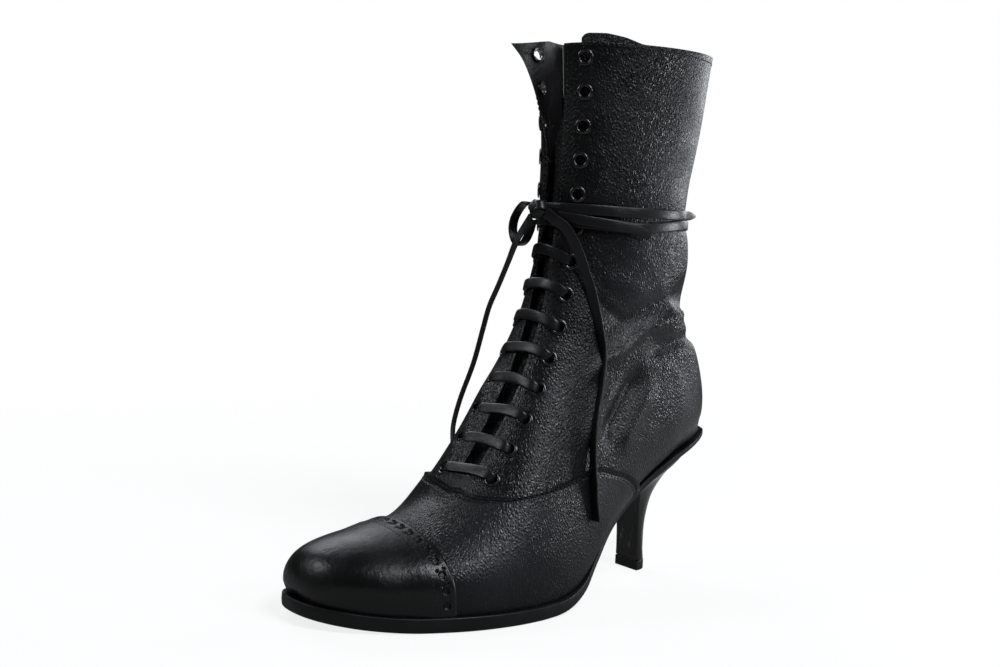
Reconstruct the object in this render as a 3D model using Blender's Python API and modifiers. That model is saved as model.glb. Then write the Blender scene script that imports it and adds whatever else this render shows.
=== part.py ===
"""Lace-up ankle boot for the left foot, on a slim heel, with a laced throat and a zip on the inner side."""
import math
from collections import namedtuple
from functools import lru_cache

import bmesh
import bpy
import numpy as np
from mathutils import Matrix, Vector

# Tables are in millimetres in the shoe's own frame: x runs from the back of the heel to the toe,
# y to the outer side, z up from the floor. CENTRE moves the boot over the middle of its box.
MM = 0.001
CENTRE = np.array([121.5, 3.0, 0.0])

# Driving dimensions
WALL = 1.8            # thickness of the upper's wall
GAP = 0.3             # clearance between pieces that meet
OVERLAY = 1.0         # thickness of the vamp
OVERLAY_LIFT = 0.7    # clearance of the vamp and the toe cap over the wall
THROAT_LIFT = 0.6     # what the vamp adds to it where its edge turns under the throat
THROAT_EASE = 0.4     # sections over which that fades
CAP_THICK = 1.3
CAP_MARGIN = 3.2      # toe cap's lower edge over the sole
VAMP_MARGIN = 2.2     # vamp's lower edge over the sole, and what the waist adds, clear of its edge
WAIST_MARGIN = 3.2
FEATHER_INSET = 3.8   # upper's lower edge, inside the edge of the sole
FEATHER_GAP = 0.55    # upper's lower edge, over the sole
EDGE_ROUND = 0.9      # round of the sole's lower edge
INSOLE_INSET = 8.6
INSOLE_THICK = 2.0
TIP_HEIGHT = 5.0      # top lift under the heel
THROAT_HALF = 4.2     # half the gap between the two facings
EYELET_LINE = 15.0    # eyelets' distance from the middle of the throat
EYELET_COUNT = 14
LACED = 8             # pairs of eyelets with a straight bar of lace
EYELET_TOP_Z = {1: 246.0, -1: 249.0}  # outer and inner side
EYELET_LOW_Z = 58.5
EYELET_HOLE = 2.4     # inside radius
EYELET_BARREL = 3.0
EYELET_FLANGE = 3.8
EYELET_CUT = 3.4      # radius of the hole in the wall
EYELET_SEAT = 0.75    # underside of the flange over the skin
EYELET_DOME = 0.8     # rise of the flange to its hole
EYELET_SIDES = 8
LACE_WIDE = 5.0
LACE_THICK = 1.2
LACE_ROUND = 1.2      # radius of the round solid that stands for the free lace
TONGUE_THICK = 2.0
TONGUE_HALF = 21.0
TONGUE_CLEAR = 1.7    # between the wall and the tongue
TONGUE_LEAN = 30.0    # how far its top has slid to the outer side
TONGUE_RISE = 4.4     # its top over the collar

# Sole, a row for each station from the toe to the heel
SoleRow = namedtuple("SoleRow", "x lateral medial bottom thick")
SOLE = [
    SoleRow(236.5, -8.0, -8.0, 4.3, 6.2),
    SoleRow(234.0, 4.0, -19.2, 3.8, 6.3),
    SoleRow(226.4, 14.6, -26.7, 2.5, 6.5),
    SoleRow(214.0, 24.2, -31.6, 0.9, 6.5),
    SoleRow(198.0, 33.5, -35.5, 0.0, 6.5),
    SoleRow(178.0, 41.6, -38.0, 0.0, 6.5),
    SoleRow(158.0, 45.4, -38.0, 0.0, 6.3),
    SoleRow(140.0, 45.6, -34.0, 0.1, 6.3),
    SoleRow(126.0, 44.0, -28.0, 1.5, 6.1),
    SoleRow(112.0, 38.6, -21.5, 6.2, 5.4),
    SoleRow(98.0, 30.6, -18.0, 16.0, 4.4),
    SoleRow(82.0, 23.6, -17.5, 29.6, 3.6),
    SoleRow(64.0, 21.5, -19.0, 43.2, 3.5),
    SoleRow(46.0, 22.5, -21.5, 54.9, 3.1),
    SoleRow(28.0, 21.5, -21.0, 63.5, 2.5),
    SoleRow(14.5, 14.5, -14.5, 67.2, 2.3),
    SoleRow(9.0, 7.5, -7.5, 68.1, 2.2),
    SoleRow(7.0, 0.0, 0.0, 68.3, 2.2),
]

# Upper, a row for each section from the toe to the collar. A section is a slanting plane from the
# point (low_x, low_z) on the sole or the back to (top_x, top_z) on the front. lateral and medial are
# its widest places, at the share wide_at of its height, crest is the y of its top, and full shapes
# the arc up to the crest. throat is the distance from the crest to the middle of the lacing.
Section = namedtuple("Section", "name low_x low_z top_x top_z lateral medial crest wide_at full throat")
ON_SOLE = None
SECTIONS = [
    Section("tip", 231.8, ON_SOLE, 232.2, 11.6, -7.6, -8.4, -8.0, 0.50, 1.00, 0.0),
    Section("toe_1", 229.8, ON_SOLE, 233.6, 17.4, 3.0, -17.8, -8.0, 0.45, 0.95, 0.0),
    Section("toe_2", 225.2, ON_SOLE, 231.4, 24.0, 10.8, -23.0, -7.5, 0.40, 0.95, 0.0),
    Section("toe_3", 217.4, ON_SOLE, 225.2, 29.4, 18.4, -26.6, -6.5, 0.36, 0.95, 0.0),
    Section("toe_4", 205.6, ON_SOLE, 212.2, 33.2, 26.8, -30.4, -5.0, 0.34, 1.00, 0.0),
    Section("cap", 184.0, ON_SOLE, 188.0, 37.0, 36.2, -34.0, -3.5, 0.32, 1.05, 4.0),
    Section("vamp", 170.0, ON_SOLE, 174.0, 43.4, 40.8, -35.4, -3.0, 0.30, 1.05, 8.0),
    Section("throat", 150.0, ON_SOLE, 158.0, 60.0, 43.0, -36.4, -3.0, 0.28, 0.92, 9.5),
    Section("waist_1", 128.0, ON_SOLE, 146.0, 76.5, 42.0, -35.2, -3.0, 0.30, 0.82, 9.0),
    Section("waist_2", 104.0, ON_SOLE, 134.5, 95.5, 37.2, -34.5, -2.5, 0.32, 0.76, 7.5),
    Section("waist_3", 78.0, ON_SOLE, 125.5, 113.5, 32.5, -32.0, -2.0, 0.32, 0.78, 5.0),
    Section("seat_1", 52.0, ON_SOLE, 119.0, 130.0, 30.0, -30.0, -1.5, 0.32, 0.80, 3.0),
    Section("seat_2", 30.0, ON_SOLE, 115.5, 144.0, 28.5, -28.5, -1.0, 0.34, 0.80, 1.5),
    Section("seat_3", 13.5, ON_SOLE, 113.8, 154.0, 27.5, -27.5, -0.5, 0.38, 0.82, 0.5),
    Section("seat_back", 8.2, 70.8, 113.0, 160.0, 27.0, -27.0, 0.0, 0.40, 0.85, 0.0),
    Section("heel", 8.5, 86.0, 112.2, 168.0, 27.0, -27.0, 0.0, 0.43, 0.85, 0.0),
    Section("ankle_1", 17.0, 104.0, 111.6, 177.5, 27.0, -27.0, 0.0, 0.46, 0.85, 0.0),
    Section("ankle_2", 30.0, 122.0, 111.0, 187.0, 27.5, -27.5, 0.0, 0.48, 0.85, 0.0),
    Section("ankle_3", 30.0, 140.0, 110.5, 198.0, 28.0, -28.0, 0.0, 0.50, 0.85, 0.0),
    Section("shaft_1", 28.5, 160.0, 110.0, 210.0, 28.5, -28.5, 0.0, 0.50, 0.85, 0.0),
    Section("shaft_2", 31.0, 181.0, 109.8, 222.0, 28.5, -28.5, 0.0, 0.50, 0.85, 0.0),
    Section("shaft_3", 28.0, 204.0, 110.0, 234.0, 29.0, -29.0, 0.0, 0.50, 0.85, 0.0),
    Section("shaft_4", 23.0, 230.0, 110.6, 245.0, 30.0, -30.0, 0.0, 0.50, 0.85, 0.0),
    Section("collar", 18.5, 254.5, 111.5, 252.5, 31.0, -31.0, 0.0, 0.50, 0.85, 0.0),
]
NAMES = [row.name for row in SECTIONS]
CAP_AT = NAMES.index("cap")
CAP_TIP_AT = 0.25     # front edge of the toe cap, in sections
SEAT_BACK = NAMES.index("seat_back")
COLLAR = NAMES.index("collar")
THROAT_AT = NAMES.index("throat") + 0.1    # low end of the throat, between two sections

# The inner facing is free above the lacing: it folds outward along its eyelets, more toward the top.
# The collar stands higher on the inner side.
CURL_FROM = NAMES.index("ankle_2") + 0.5
CURL_REACH = 26.0
CURL_MOVE = np.array([10.0, -30.0, 1.5])
CURL_RISE = 1.6       # exponents of the fold along the facing and across it
CURL_FOLD = 2.0
INNER_RISE = 4.5
INNER_RISE_FROM = NAMES.index("shaft_3")

# Upper edge of the vamp: its rise up the wall from the sole, in sections
VampEdge = namedtuple("VampEdge", "section rise")
VAMP_EDGE = [
    VampEdge(6.60, 80.0), VampEdge(6.66, 64.0), VampEdge(6.75, 55.0), VampEdge(7.00, 50.5),
    VampEdge(7.50, 48.0), VampEdge(8.70, 48.0), VampEdge(9.20, 45.5), VampEdge(9.70, 40.5),
    VampEdge(10.00, 32.0), VampEdge(10.20, 25.0), VampEdge(10.34, 16.0), VampEdge(10.42, 5.0),
]

# Heel, a row for each ring from the tip up; the seat's own ring follows the sole
HeelRow = namedtuple("HeelRow", "back_x back_z front_x front_z half")
HEEL = [
    HeelRow(41.0, TIP_HEIGHT + GAP, 49.6, TIP_HEIGHT + GAP, 7.6),
    HeelRow(41.8, 12.0, 49.8, 12.0, 7.5),
    HeelRow(41.4, 25.0, 50.4, 24.0, 7.8),
    HeelRow(38.0, 38.0, 52.0, 33.5, 9.4),
    HeelRow(32.0, 47.0, 54.2, 40.0, 12.0),
    HeelRow(24.4, 54.8, 56.6, 43.0, 14.6),
    HeelRow(15.4, 61.8, 58.2, 45.0, 17.4),
]
HEEL_SEAT_BACK = 8.6
HEEL_SEAT_FRONT = 59.6
HEEL_SEAT_HALF = 19.6
HEEL_ROUND = 0.8      # exponent of the heel's rounded back

# Zip on the inner side
ZIP_HEAD = (80.0, 254.0)         # x and z of the two ends of its straight line
ZIP_FOOT = (71.0, 100.0)
ZIP_LOW = NAMES.index("seat_2") + 0.5
ZIP_HALF = 5.0                   # half the slot in the wall
ZIP_CLEAR = 0.55                 # clearance at each side of the tape
ZIP_SINK = 0.4                   # tape's face under the skin, and its back
ZIP_BACK = 1.6
ZIP_RIDGE = 0.8                  # height of the closed teeth over the tape
ZIP_TEETH_HALF = 1.4
SLIDER_DROP = 30.0               # slider's distance below the collar
SLIDER_SIZE = (8.0, 11.0, 2.4)   # across the zip, along it, and out from it
BRIDGE_SIZE = (2.4, 8.0, 3.0)    # arch on the slider that holds the pull
BRIDGE_BAR = 0.9
BRIDGE_ROOT = 0.4                # how far the arch's feet go into the slider
RING_WIRE = 0.6                  # radius of the pull's wire
RING_HALF = 3.4
RING_DROP = 9.0
RING_BEND = 1.2
TAB_LENGTH = 24.0
TAB_TOP_HALF = 2.2
TAB_HALF = 3.6
TAB_POINT = 5.0
TAB_THICK = 2.0

# Turns of lace round the ankle: height at the front and at the back
TURN_LIFT = 0.8       # clearance of a turn over the skin
TURN_OVER = 0.34      # share of the half section where the turns pass over the eyelets
TURN_EASE = 0.1       # share over which a turn climbs to the eyelets
EYELET_RISE = 1.2
TURNS = {"lace_turn_upper": (178.0, 177.8), "lace_turn_lower": (172.2, 172.2)}

# Bars of lace over the throat: share of the eyelets' distance, and height over the skin
BarRow = namedtuple("BarRow", "share lift")
BAR = [BarRow(1.08, 2.2), BarRow(0.85, 2.2), BarRow(0.64, 2.4), BarRow(0.45, 1.6), BarRow(0.25, 1.0),
       BarRow(0.0, 0.9)]

# Free lace: points chosen by hand along each route, in the shoe's frame
KNOT_AT = (119.2, 1.0, 176.9)
KNOT_RADII = (4.0, 5.0, 5.0)
ROUTES = {
    "lace_loop": [
        (119.6, -4.4, 179.0), (117.4, -10.6, 179.8), (116.4, -16.4, 176.4), (116.2, -19.9, 171.6),
        (116.2, -20.4, 166.6), (116.5, -17.8, 161.8), (117.0, -13.4, 160.2), (117.6, -9.0, 162.4),
        (118.8, -4.8, 166.8), (119.8, -2.0, 171.8),
    ],
    "lace_end_lateral": [
        (118.6, 6.2, 175.6), (116.4, 9.6, 172.6), (112.9, 13.6, 169.0), (109.7, 16.3, 162.6),
        (106.8, 17.8, 156.0), (104.0, 19.1, 148.0), (101.8, 20.7, 140.8), (99.1, 23.3, 127.4),
        (97.5, 26.2, 113.1), (100.5, 29.2, 98.6), (107.0, 33.4, 80.4), (110.2, 37.0, 65.4),
        (110.8, 39.2, 53.8),
    ],
    "lace_end_medial": [
        (119.2, -4.0, 173.4), (120.2, -8.6, 166.9), (121.9, -11.0, 160.9), (123.9, -14.0, 150.8),
        (125.6, -18.0, 140.2), (127.5, -21.5, 130.5), (128.4, -24.5, 119.4), (129.6, -29.0, 103.0),
        (131.4, -35.4, 86.0), (132.6, -38.4, 74.0), (132.4, -39.4, 66.0),
    ],
}
TIP_LENGTH = 15.0
TIP_RADIUS = 1.3
TIP_ENDS = {"lace_tip_lateral": "lace_end_lateral", "lace_tip_medial": "lace_end_medial"}
TIP_DIRECTION = {"lace_tip_lateral": (-0.17, 0.02, -1.0), "lace_tip_medial": (-0.10, -0.04, -1.0)}

# Rows of the sheets, in sections, and their columns
UPPER_ROWS = [0, 0.5, 1, 1.5, 2, 3, 4, 5, 5.4, 5.7, 6, 6.3, 6.6, 6.7, 6.85, THROAT_AT, 7.5, 8, 8.5, 9, 9.5,
              10, 10.5, 11, 11.5, 12, ZIP_LOW, 13, 13.5, 14, 15, 16, 17, 18, 19, 20, 21, 22, COLLAR]
VAMP_ROWS = [5.08, 5.4, 5.7, 6, 6.3, 6.6, 6.7, 6.85, 7.1, 7.5, 8, 8.5, 9, 9.5, 9.8, 10, 10.2, 10.32, 10.4]
TONGUE_ROWS = [6.9, 7.4, 8, 9, 10, 11, 12, 13, 14, 15, 16, 17, 18, 19, 20, 21, 22, COLLAR]
LATERAL_STEPS = 12
ZIP_BACK_STEPS = 5    # inner columns from the feather to the zip, and from the zip to the facing
ZIP_FRONT_STEPS = 6
CAP_STEPS = 8
SOLE_STATIONS = 52
INSOLE_STATIONS = 30
VAMP_STEPS = 9
TONGUE_STEPS = 10
INSIDE = (70.0, 0.0, 120.0)         # points inside the boot, to turn the sheets outward
CAP_INSIDE = (190.0, 0.0, 10.0)
VAMP_INSIDE = (130.0, 0.0, 20.0)

# Finish of each material: colour, roughness, metallic
FINISHES = {
    "grain_leather": ((0.012, 0.012, 0.013), 0.45, 0.0),
    "smooth_leather": ((0.010, 0.010, 0.011), 0.28, 0.0),
    "lining_leather": ((0.015, 0.015, 0.017), 0.5, 0.0),
    "sole_black": ((0.012, 0.012, 0.012), 0.5, 0.0),
    "heel_black": ((0.008, 0.008, 0.009), 0.3, 0.0),
    "lace_leather": ((0.010, 0.010, 0.011), 0.42, 0.0),
    "eyelet_black": ((0.010, 0.010, 0.011), 0.25, 0.6),
    "zip_brass": ((0.45, 0.30, 0.10), 0.35, 1.0),
    "zip_steel": ((0.35, 0.35, 0.36), 0.3, 1.0),
}


# Scene and objects

def clear_scene():
    for obj in list(bpy.data.objects):
        bpy.data.objects.remove(obj, do_unlink=True)


def make_collection(name):
    group = bpy.data.collections.new(name)
    bpy.context.scene.collection.children.link(group)
    return group


def make_materials():
    made = {}
    for name, (colour, roughness, metallic) in FINISHES.items():
        material = bpy.data.materials.new(name)
        material.use_nodes = True
        shader = material.node_tree.nodes["Principled BSDF"]
        shader.inputs["Base Color"].default_value = (*colour, 1.0)
        shader.inputs["Roughness"].default_value = roughness
        shader.inputs["Metallic"].default_value = metallic
        made[name] = material
    return made


def add_object(name, bm, finish, group):
    """Turn a bmesh in millimetres into an object of the boot, over the middle of its box."""
    shift = Matrix.Translation(Vector(-CENTRE * MM)) @ Matrix.Scale(MM, 4)
    bm.transform(shift)
    mesh = bpy.data.meshes.new(name)
    bm.to_mesh(mesh)
    bm.free()
    obj = bpy.data.objects.new(name, mesh)
    if finish:
        mesh.materials.append(MATERIALS[finish])
        mesh.shade_smooth()
        mesh.set_sharp_from_angle(angle=math.radians(35))
    group.objects.link(obj)
    return obj


def add_cutter(name, bm):
    obj = add_object(name, bm, None, CUTTERS)
    obj.hide_render = True
    obj.display_type = "WIRE"
    return obj


def give_wall(obj, thickness, offset, even=True):
    """Give an open sheet its thickness, in millimetres; offset -1 goes inward and 1 outward."""
    wall = obj.modifiers.new("Wall", "SOLIDIFY")
    wall.thickness = thickness * MM
    wall.offset = offset
    wall.use_even_offset = even


def combine(obj, other, operation):
    step = obj.modifiers.new(operation.title(), "BOOLEAN")
    step.operation = operation
    step.object = other
    step.solver = "EXACT"


# Curves and sections

def smooth(rows, at):
    """Point on the smooth curve through evenly numbered rows."""
    rows = np.asarray(rows, float)
    last = len(rows) - 1
    at = min(max(at, 0.0), last)
    k = min(int(at), last - 1)
    t = at - k
    p1, p2 = rows[k], rows[k + 1]
    p0 = rows[k - 1] if k > 0 else 2 * p1 - p2
    p3 = rows[k + 2] if k + 2 <= last else 2 * p2 - p1
    return 0.5 * (2 * p1 + (p2 - p0) * t + (2 * p0 - 5 * p1 + 4 * p2 - p3) * t ** 2
                  + (3 * p1 - p0 - 3 * p2 + p3) * t ** 3)


def smooth_route(points, steps):
    """Points along the smooth curve through a hand-chosen route."""
    return [smooth(points, at) for at in np.linspace(0, len(points) - 1, steps)]


def sole_edges(steps=40):
    """The sole's outer and inner edge, each sorted from heel to toe."""
    loop = [(row.x, row.lateral) for row in SOLE] + [(row.x, row.medial) for row in SOLE[-2:0:-1]]
    ring = loop[-2:] + loop + loop[:3]
    turn = len(SOLE) - 1
    lateral = [smooth(ring, 2 + at) for at in np.linspace(0, turn, turn * steps)]
    medial = [smooth(ring, 2 + at) for at in np.linspace(turn, len(loop), turn * steps)]
    lateral = np.array(sorted(map(tuple, lateral)))
    medial = np.array(sorted(map(tuple, medial)))
    return lateral, medial


def sole_profile(steps=40):
    """The sole's height and thickness along x, from heel to toe."""
    rows = [(row.x, row.bottom, row.thick) for row in SOLE]
    points = [smooth(rows, at) for at in np.linspace(0, len(rows) - 1, len(rows) * steps)]
    return np.array(sorted(map(tuple, points)))


LATERAL_EDGE, MEDIAL_EDGE = sole_edges()
PROFILE = sole_profile()


def sole_bottom(x):
    return max(0.0, float(np.interp(x, PROFILE[:, 0], PROFILE[:, 1])))


def sole_top(x):
    return sole_bottom(x) + float(np.interp(x, PROFILE[:, 0], PROFILE[:, 2]))


@lru_cache(maxsize=None)
def inset_edge(side, inset):
    """The sole's edge moved in by an inset, square to the outline, sorted from heel to toe."""
    edge = LATERAL_EDGE if side > 0 else MEDIAL_EDGE
    along = np.gradient(edge, axis=0)
    along = along / np.linalg.norm(along, axis=1)[:, None]
    moved = edge + inset * side * np.stack([along[:, 1], -along[:, 0]], axis=-1)
    return moved[np.argsort(moved[:, 0])]


def inset_side(x, side, inset):
    edge = inset_edge(side, inset)
    return float(np.interp(x, edge[:, 0], edge[:, 1]))


def section_rows():
    rows = []
    for row in SECTIONS:
        low_z = sole_top(row.low_x) + FEATHER_GAP if row.low_z is ON_SOLE else row.low_z
        rows.append((row.low_x, low_z) + row[3:])
    return np.array(rows)


ROWS = section_rows()


def half_section(at, side, steps=60):
    """Half of a section, from the sole or the back (first point) up to the crest (last point)."""
    low_x, low_z, top_x, top_z, lateral, medial, crest, wide_at, full, _ = smooth(ROWS, at)
    wide = lateral if side > 0 else medial
    start = 0.0
    if at < SEAT_BACK:
        low_z = sole_top(low_x) + FEATHER_GAP
        fade = min(1.0, 3.0 * (SEAT_BACK - at))
        start = inset_side(low_x, side, FEATHER_INSET) * fade
    turn = np.linspace(0, math.pi / 2, steps)
    y = np.concatenate([start + (wide - start) * np.sin(turn),
                        crest + (wide - crest) * np.maximum(np.cos(turn[1:]), 0.0) ** full])
    lift = np.concatenate([wide_at * (1 - np.cos(turn)),
                           wide_at + (1 - wide_at) * np.sin(turn[1:]) ** min(1.0, 2.0 - full)])
    return np.stack([low_x + lift * (top_x - low_x), y, low_z + lift * (top_z - low_z)], axis=-1)


def arc(points):
    return np.concatenate([[0.0], np.cumsum(np.linalg.norm(np.diff(points, axis=0), axis=1))])


def half_length(at, side):
    return float(arc(half_section(at, side))[-1])


def throat_offset(at):
    return float(smooth(ROWS, at)[-1])


def ease(value):
    value = min(max(value, 0.0), 1.0)
    return value * value * (3 - 2 * value)


def skin(at, across, curl=True):
    """Point of the outer skin, at a distance across from the middle of the throat (outer side +)."""
    signed = across + throat_offset(at)
    side = 1 if signed >= 0 else -1
    points = half_section(at, side)
    run = arc(points)
    place = run[-1] - min(abs(signed), run[-1])
    point = np.array([np.interp(place, run, points[:, k]) for k in range(3)])
    if curl and across < 0:
        rise = max((at - CURL_FROM) / (COLLAR - CURL_FROM), 0.0) ** CURL_RISE
        point = point + CURL_MOVE * rise * max(1 + across / CURL_REACH, 0.0) ** CURL_FOLD
        share = min(abs(across) / abs(reach(at, -1)), 1.0)
        top = ease((at - INNER_RISE_FROM) / (COLLAR - INNER_RISE_FROM))
        point[2] += INNER_RISE * top * ease(share / 0.25) * ease((1 - share) / 0.5)
    return point


def skin_normal(at, across, curl=True):
    step = 0.05
    wide = 0.8
    along = skin(min(at + step, COLLAR), across, curl) - skin(max(at - step, 0.0), across, curl)
    around = skin(at, across + wide, curl) - skin(at, across - wide, curl)
    normal = np.cross(around, along)
    return normal / max(np.linalg.norm(normal), 1e-9)


def lifted(at, across, lift, curl=True):
    return skin(at, across, curl) + lift * skin_normal(at, across, curl)


def reach(at, side):
    """Distance across from the middle of the throat to the sole or the back."""
    return half_length(at, side) * side - throat_offset(at)


# Mesh makers

def loft(grid, keep=None, ring=False):
    """Sheet of quads through rows of points; keep(row, column) may leave cells out."""
    bm = bmesh.new()
    verts = [[bm.verts.new(point) for point in row] for row in grid]
    columns = len(grid[0])
    for i in range(len(grid) - 1):
        for j in range(columns if ring else columns - 1):
            if keep and not keep(i, j):
                continue
            k = (j + 1) % columns
            bm.faces.new((verts[i][j], verts[i][k], verts[i + 1][k], verts[i + 1][j]))
    return bm


def clean(bm, distance=0.002):
    """Weld points that meet, drop what has collapsed and turn all faces outward."""
    bmesh.ops.remove_doubles(bm, verts=bm.verts, dist=distance)
    bmesh.ops.dissolve_degenerate(bm, edges=bm.edges, dist=distance)
    loose = [vert for vert in bm.verts if not vert.link_faces]
    bmesh.ops.delete(bm, geom=loose, context="VERTS")
    bmesh.ops.recalc_face_normals(bm, faces=bm.faces)
    return bm


def close_ends(bm):
    """Fill the open ends of a loft."""
    edges = [edge for edge in bm.edges if edge.is_boundary]
    bmesh.ops.holes_fill(bm, edges=edges)
    return bm


def face_outward(bm, inside):
    """Turn a sheet's faces away from a point inside the boot."""
    bmesh.ops.recalc_face_normals(bm, faces=bm.faces)
    vote = sum((face.calc_center_median() - Vector(inside)).dot(face.normal) for face in bm.faces)
    if vote < 0:
        bmesh.ops.reverse_faces(bm, faces=bm.faces)
    return bm


def strip(path, across, normals, wide, thick, closed=False):
    """Flat lace: a rectangle swept along a path, lying with its face along the normals."""
    grid = []
    for point, side, normal in zip(path, across, normals):
        side = np.asarray(side) / np.linalg.norm(side)
        corners = [(-0.5, 0), (0.5, 0), (0.5, 1), (-0.5, 1)]
        grid.append([point + side * wide * a + normal * thick * b for a, b in corners])
    if closed:
        grid.append(grid[0])
    bm = loft(grid, ring=True)
    if not closed:
        close_ends(bm)
    return clean(bm)


def lathe(profile, sides):
    """Closed ring turned about z from a closed profile of (radius, height)."""
    grid = []
    for k in range(sides + 1):
        turn = 2 * math.pi * k / sides
        grid.append([(r * math.cos(turn), r * math.sin(turn), h) for r, h in profile])
    return clean(loft(grid, ring=True))


def place_on(bm, point, normal):
    turn = Vector((0, 0, 1)).rotation_difference(Vector(normal)).to_matrix().to_4x4()
    bm.transform(Matrix.Translation(Vector(point)) @ turn)
    return bm


# Sole and heel

def stations(first, last, count):
    """Stations along x, closer together at both ends."""
    turn = np.linspace(0, math.pi, count)
    return first + (last - first) * 0.5 * (1 - np.cos(turn))


def plate(inset, low, high, chamfer, count):
    """Plate under the foot: its sides follow the sole's outline, low(x) and high(x) its faces."""
    grid = []
    ends = [SOLE[-1].x + inset + 0.05, SOLE[0].x - inset - 0.05]
    for x in stations(*ends, count):
        middle = 0.5 * (inset_side(x, 1, inset) + inset_side(x, -1, inset))
        half = max(0.1, 0.5 * (inset_side(x, 1, inset) - inset_side(x, -1, inset)))
        lateral = middle + half
        medial = middle - half
        cut = min(chamfer, 0.8 * half)
        grid.append([(x, lateral, high(x)), (x, lateral, low(x) + cut), (x, lateral - cut, low(x)),
                     (x, medial + cut, low(x)), (x, medial, low(x) + cut), (x, medial, high(x))])
    bm = loft(grid, ring=True)
    close_ends(bm)
    return clean(bm)


def make_outsole():
    bm = plate(0.0, sole_bottom, sole_top, EDGE_ROUND, SOLE_STATIONS)
    add_object("outsole", bm, "sole_black", BOOT)


def make_insole():
    def low(x):
        return sole_top(x) + GAP

    def high(x):
        return low(x) + INSOLE_THICK

    bm = plate(INSOLE_INSET, low, high, 0.0, INSOLE_STATIONS)
    add_object("insole", bm, "lining_leather", BOOT)


def heel_ring(back_x, front_x, half, height, sides=14):
    """D-shaped ring: flat at the front, rounded at the back; height(x) gives its z."""
    ring = []
    for turn in np.linspace(-math.pi / 2, math.pi / 2, sides):
        x = front_x - (front_x - back_x) * max(math.cos(turn), 0.0) ** HEEL_ROUND
        ring.append((x, half * math.sin(turn), height(x)))
    return ring


def make_heel():
    grid = []
    for row in HEEL:
        def height(x, row=row):
            share = (x - row.back_x) / (row.front_x - row.back_x)
            return row.back_z + share * (row.front_z - row.back_z)
        grid.append(heel_ring(row.back_x, row.front_x, row.half, height))
    grid.append(heel_ring(HEEL_SEAT_BACK, HEEL_SEAT_FRONT, HEEL_SEAT_HALF,
                          lambda x: sole_bottom(x) - GAP))
    bm = loft(grid, ring=True)
    cap_ring(bm, grid[-1])
    cap_ring(bm, grid[0])
    add_object("heel", clean(bm), "heel_black", BOOT)


def cap_ring(bm, ring):
    """Close a symmetric ring with strips across it, so that the cap follows its curve."""
    bm.verts.ensure_lookup_table()
    corners = []
    for point in ring:
        corners.append(min(bm.verts, key=lambda vert: (vert.co - Vector(point)).length))
    for k in range(len(ring) // 2 - 1):
        bm.faces.new((corners[k], corners[k + 1], corners[-2 - k], corners[-1 - k]))


def make_heel_tip():
    first = HEEL[0]
    grid = [heel_ring(first.back_x - 0.3, first.front_x + 0.2, first.half + 0.2, lambda x, z=z: z)
            for z in (0.0, TIP_HEIGHT)]
    bm = loft(grid, ring=True)
    cap_ring(bm, grid[0])
    cap_ring(bm, grid[1])
    add_object("heel_tip", clean(bm), "sole_black", BOOT)


# Upper and what is sewn on it

def throat_half(at):
    """Half the gap of the throat, narrowed where a section is short."""
    return min(THROAT_HALF, 0.15 * half_length(at, 1))


def zip_share(at):
    """Where the zip's straight line crosses the inner half, from the back (0) to the facing (1)."""
    at = max(at, ZIP_LOW)
    points = half_section(at, -1)
    line = np.interp(points[:, 2], [ZIP_FOOT[1], ZIP_HEAD[1]], [ZIP_FOOT[0], ZIP_HEAD[0]])
    run = arc(points)
    return float(np.interp(0.0, points[:, 0] - line, run)) / (run[-1] - throat_half(at))


def zip_across(at, offset):
    """Place across the inner side, at an offset from the middle of the zip (+ toward the throat)."""
    far = reach(at, -1)
    return far + (-throat_half(at) - far) * zip_share(at) + offset


def upper_places(at):
    """Places across a section from the outer feather over the front to the inner feather."""
    half = throat_half(at)
    zip_half = min(ZIP_HALF, 0.05 * half_length(at, -1))
    lateral = np.linspace(reach(at, 1), half, LATERAL_STEPS + 1)
    facing = np.linspace(-half, zip_across(at, zip_half), ZIP_FRONT_STEPS + 1)
    back = np.linspace(zip_across(at, -zip_half), reach(at, -1), ZIP_BACK_STEPS + 1)
    return [*lateral, *facing, *back]


def make_upper():
    grid = [[skin(at, across) for across in upper_places(at)] for at in UPPER_ROWS]
    throat_column = LATERAL_STEPS
    zip_column = LATERAL_STEPS + 1 + ZIP_FRONT_STEPS

    def keep(i, j):
        in_throat = j == throat_column and UPPER_ROWS[i] >= THROAT_AT
        in_zip = j == zip_column and UPPER_ROWS[i] >= ZIP_LOW
        return not (in_throat or in_zip)

    tip = np.mean(grid[0], axis=0)
    grid[0] = [tip] * len(grid[0])
    bm = face_outward(clean(loft(grid, keep)), INSIDE)
    upper = add_object("upper", bm, "grain_leather", BOOT)
    give_wall(upper, WALL, -1)
    combine(upper, make_eyelet_cutters(), "DIFFERENCE")


def make_toe_cap():
    rows = [CAP_TIP_AT] + [at for at in UPPER_ROWS if 0 < at <= CAP_AT]
    grid = []
    for at in rows:
        margin = min(CAP_MARGIN, 0.6 * half_length(at, 1))
        places = np.linspace(reach(at, 1) - margin, reach(at, -1) + margin, 2 * CAP_STEPS + 1)
        grid.append([lifted(at, across, OVERLAY_LIFT) for across in places])
    bm = face_outward(clean(loft(grid)), CAP_INSIDE)
    give_wall(add_object("toe_cap", bm, "smooth_leather", BOOT), CAP_THICK, 1, even=False)


def vamp_top(at, side):
    """Place across of the vamp's upper edge: the middle in front of the throat, then its own curve."""
    if at <= VAMP_EDGE[0].section:
        return 0.0
    rise = np.interp(at, [row.section for row in VAMP_EDGE], [row.rise for row in VAMP_EDGE])
    return side * max(abs(reach(at, side)) - rise, THROAT_HALF + 1.0)


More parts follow.
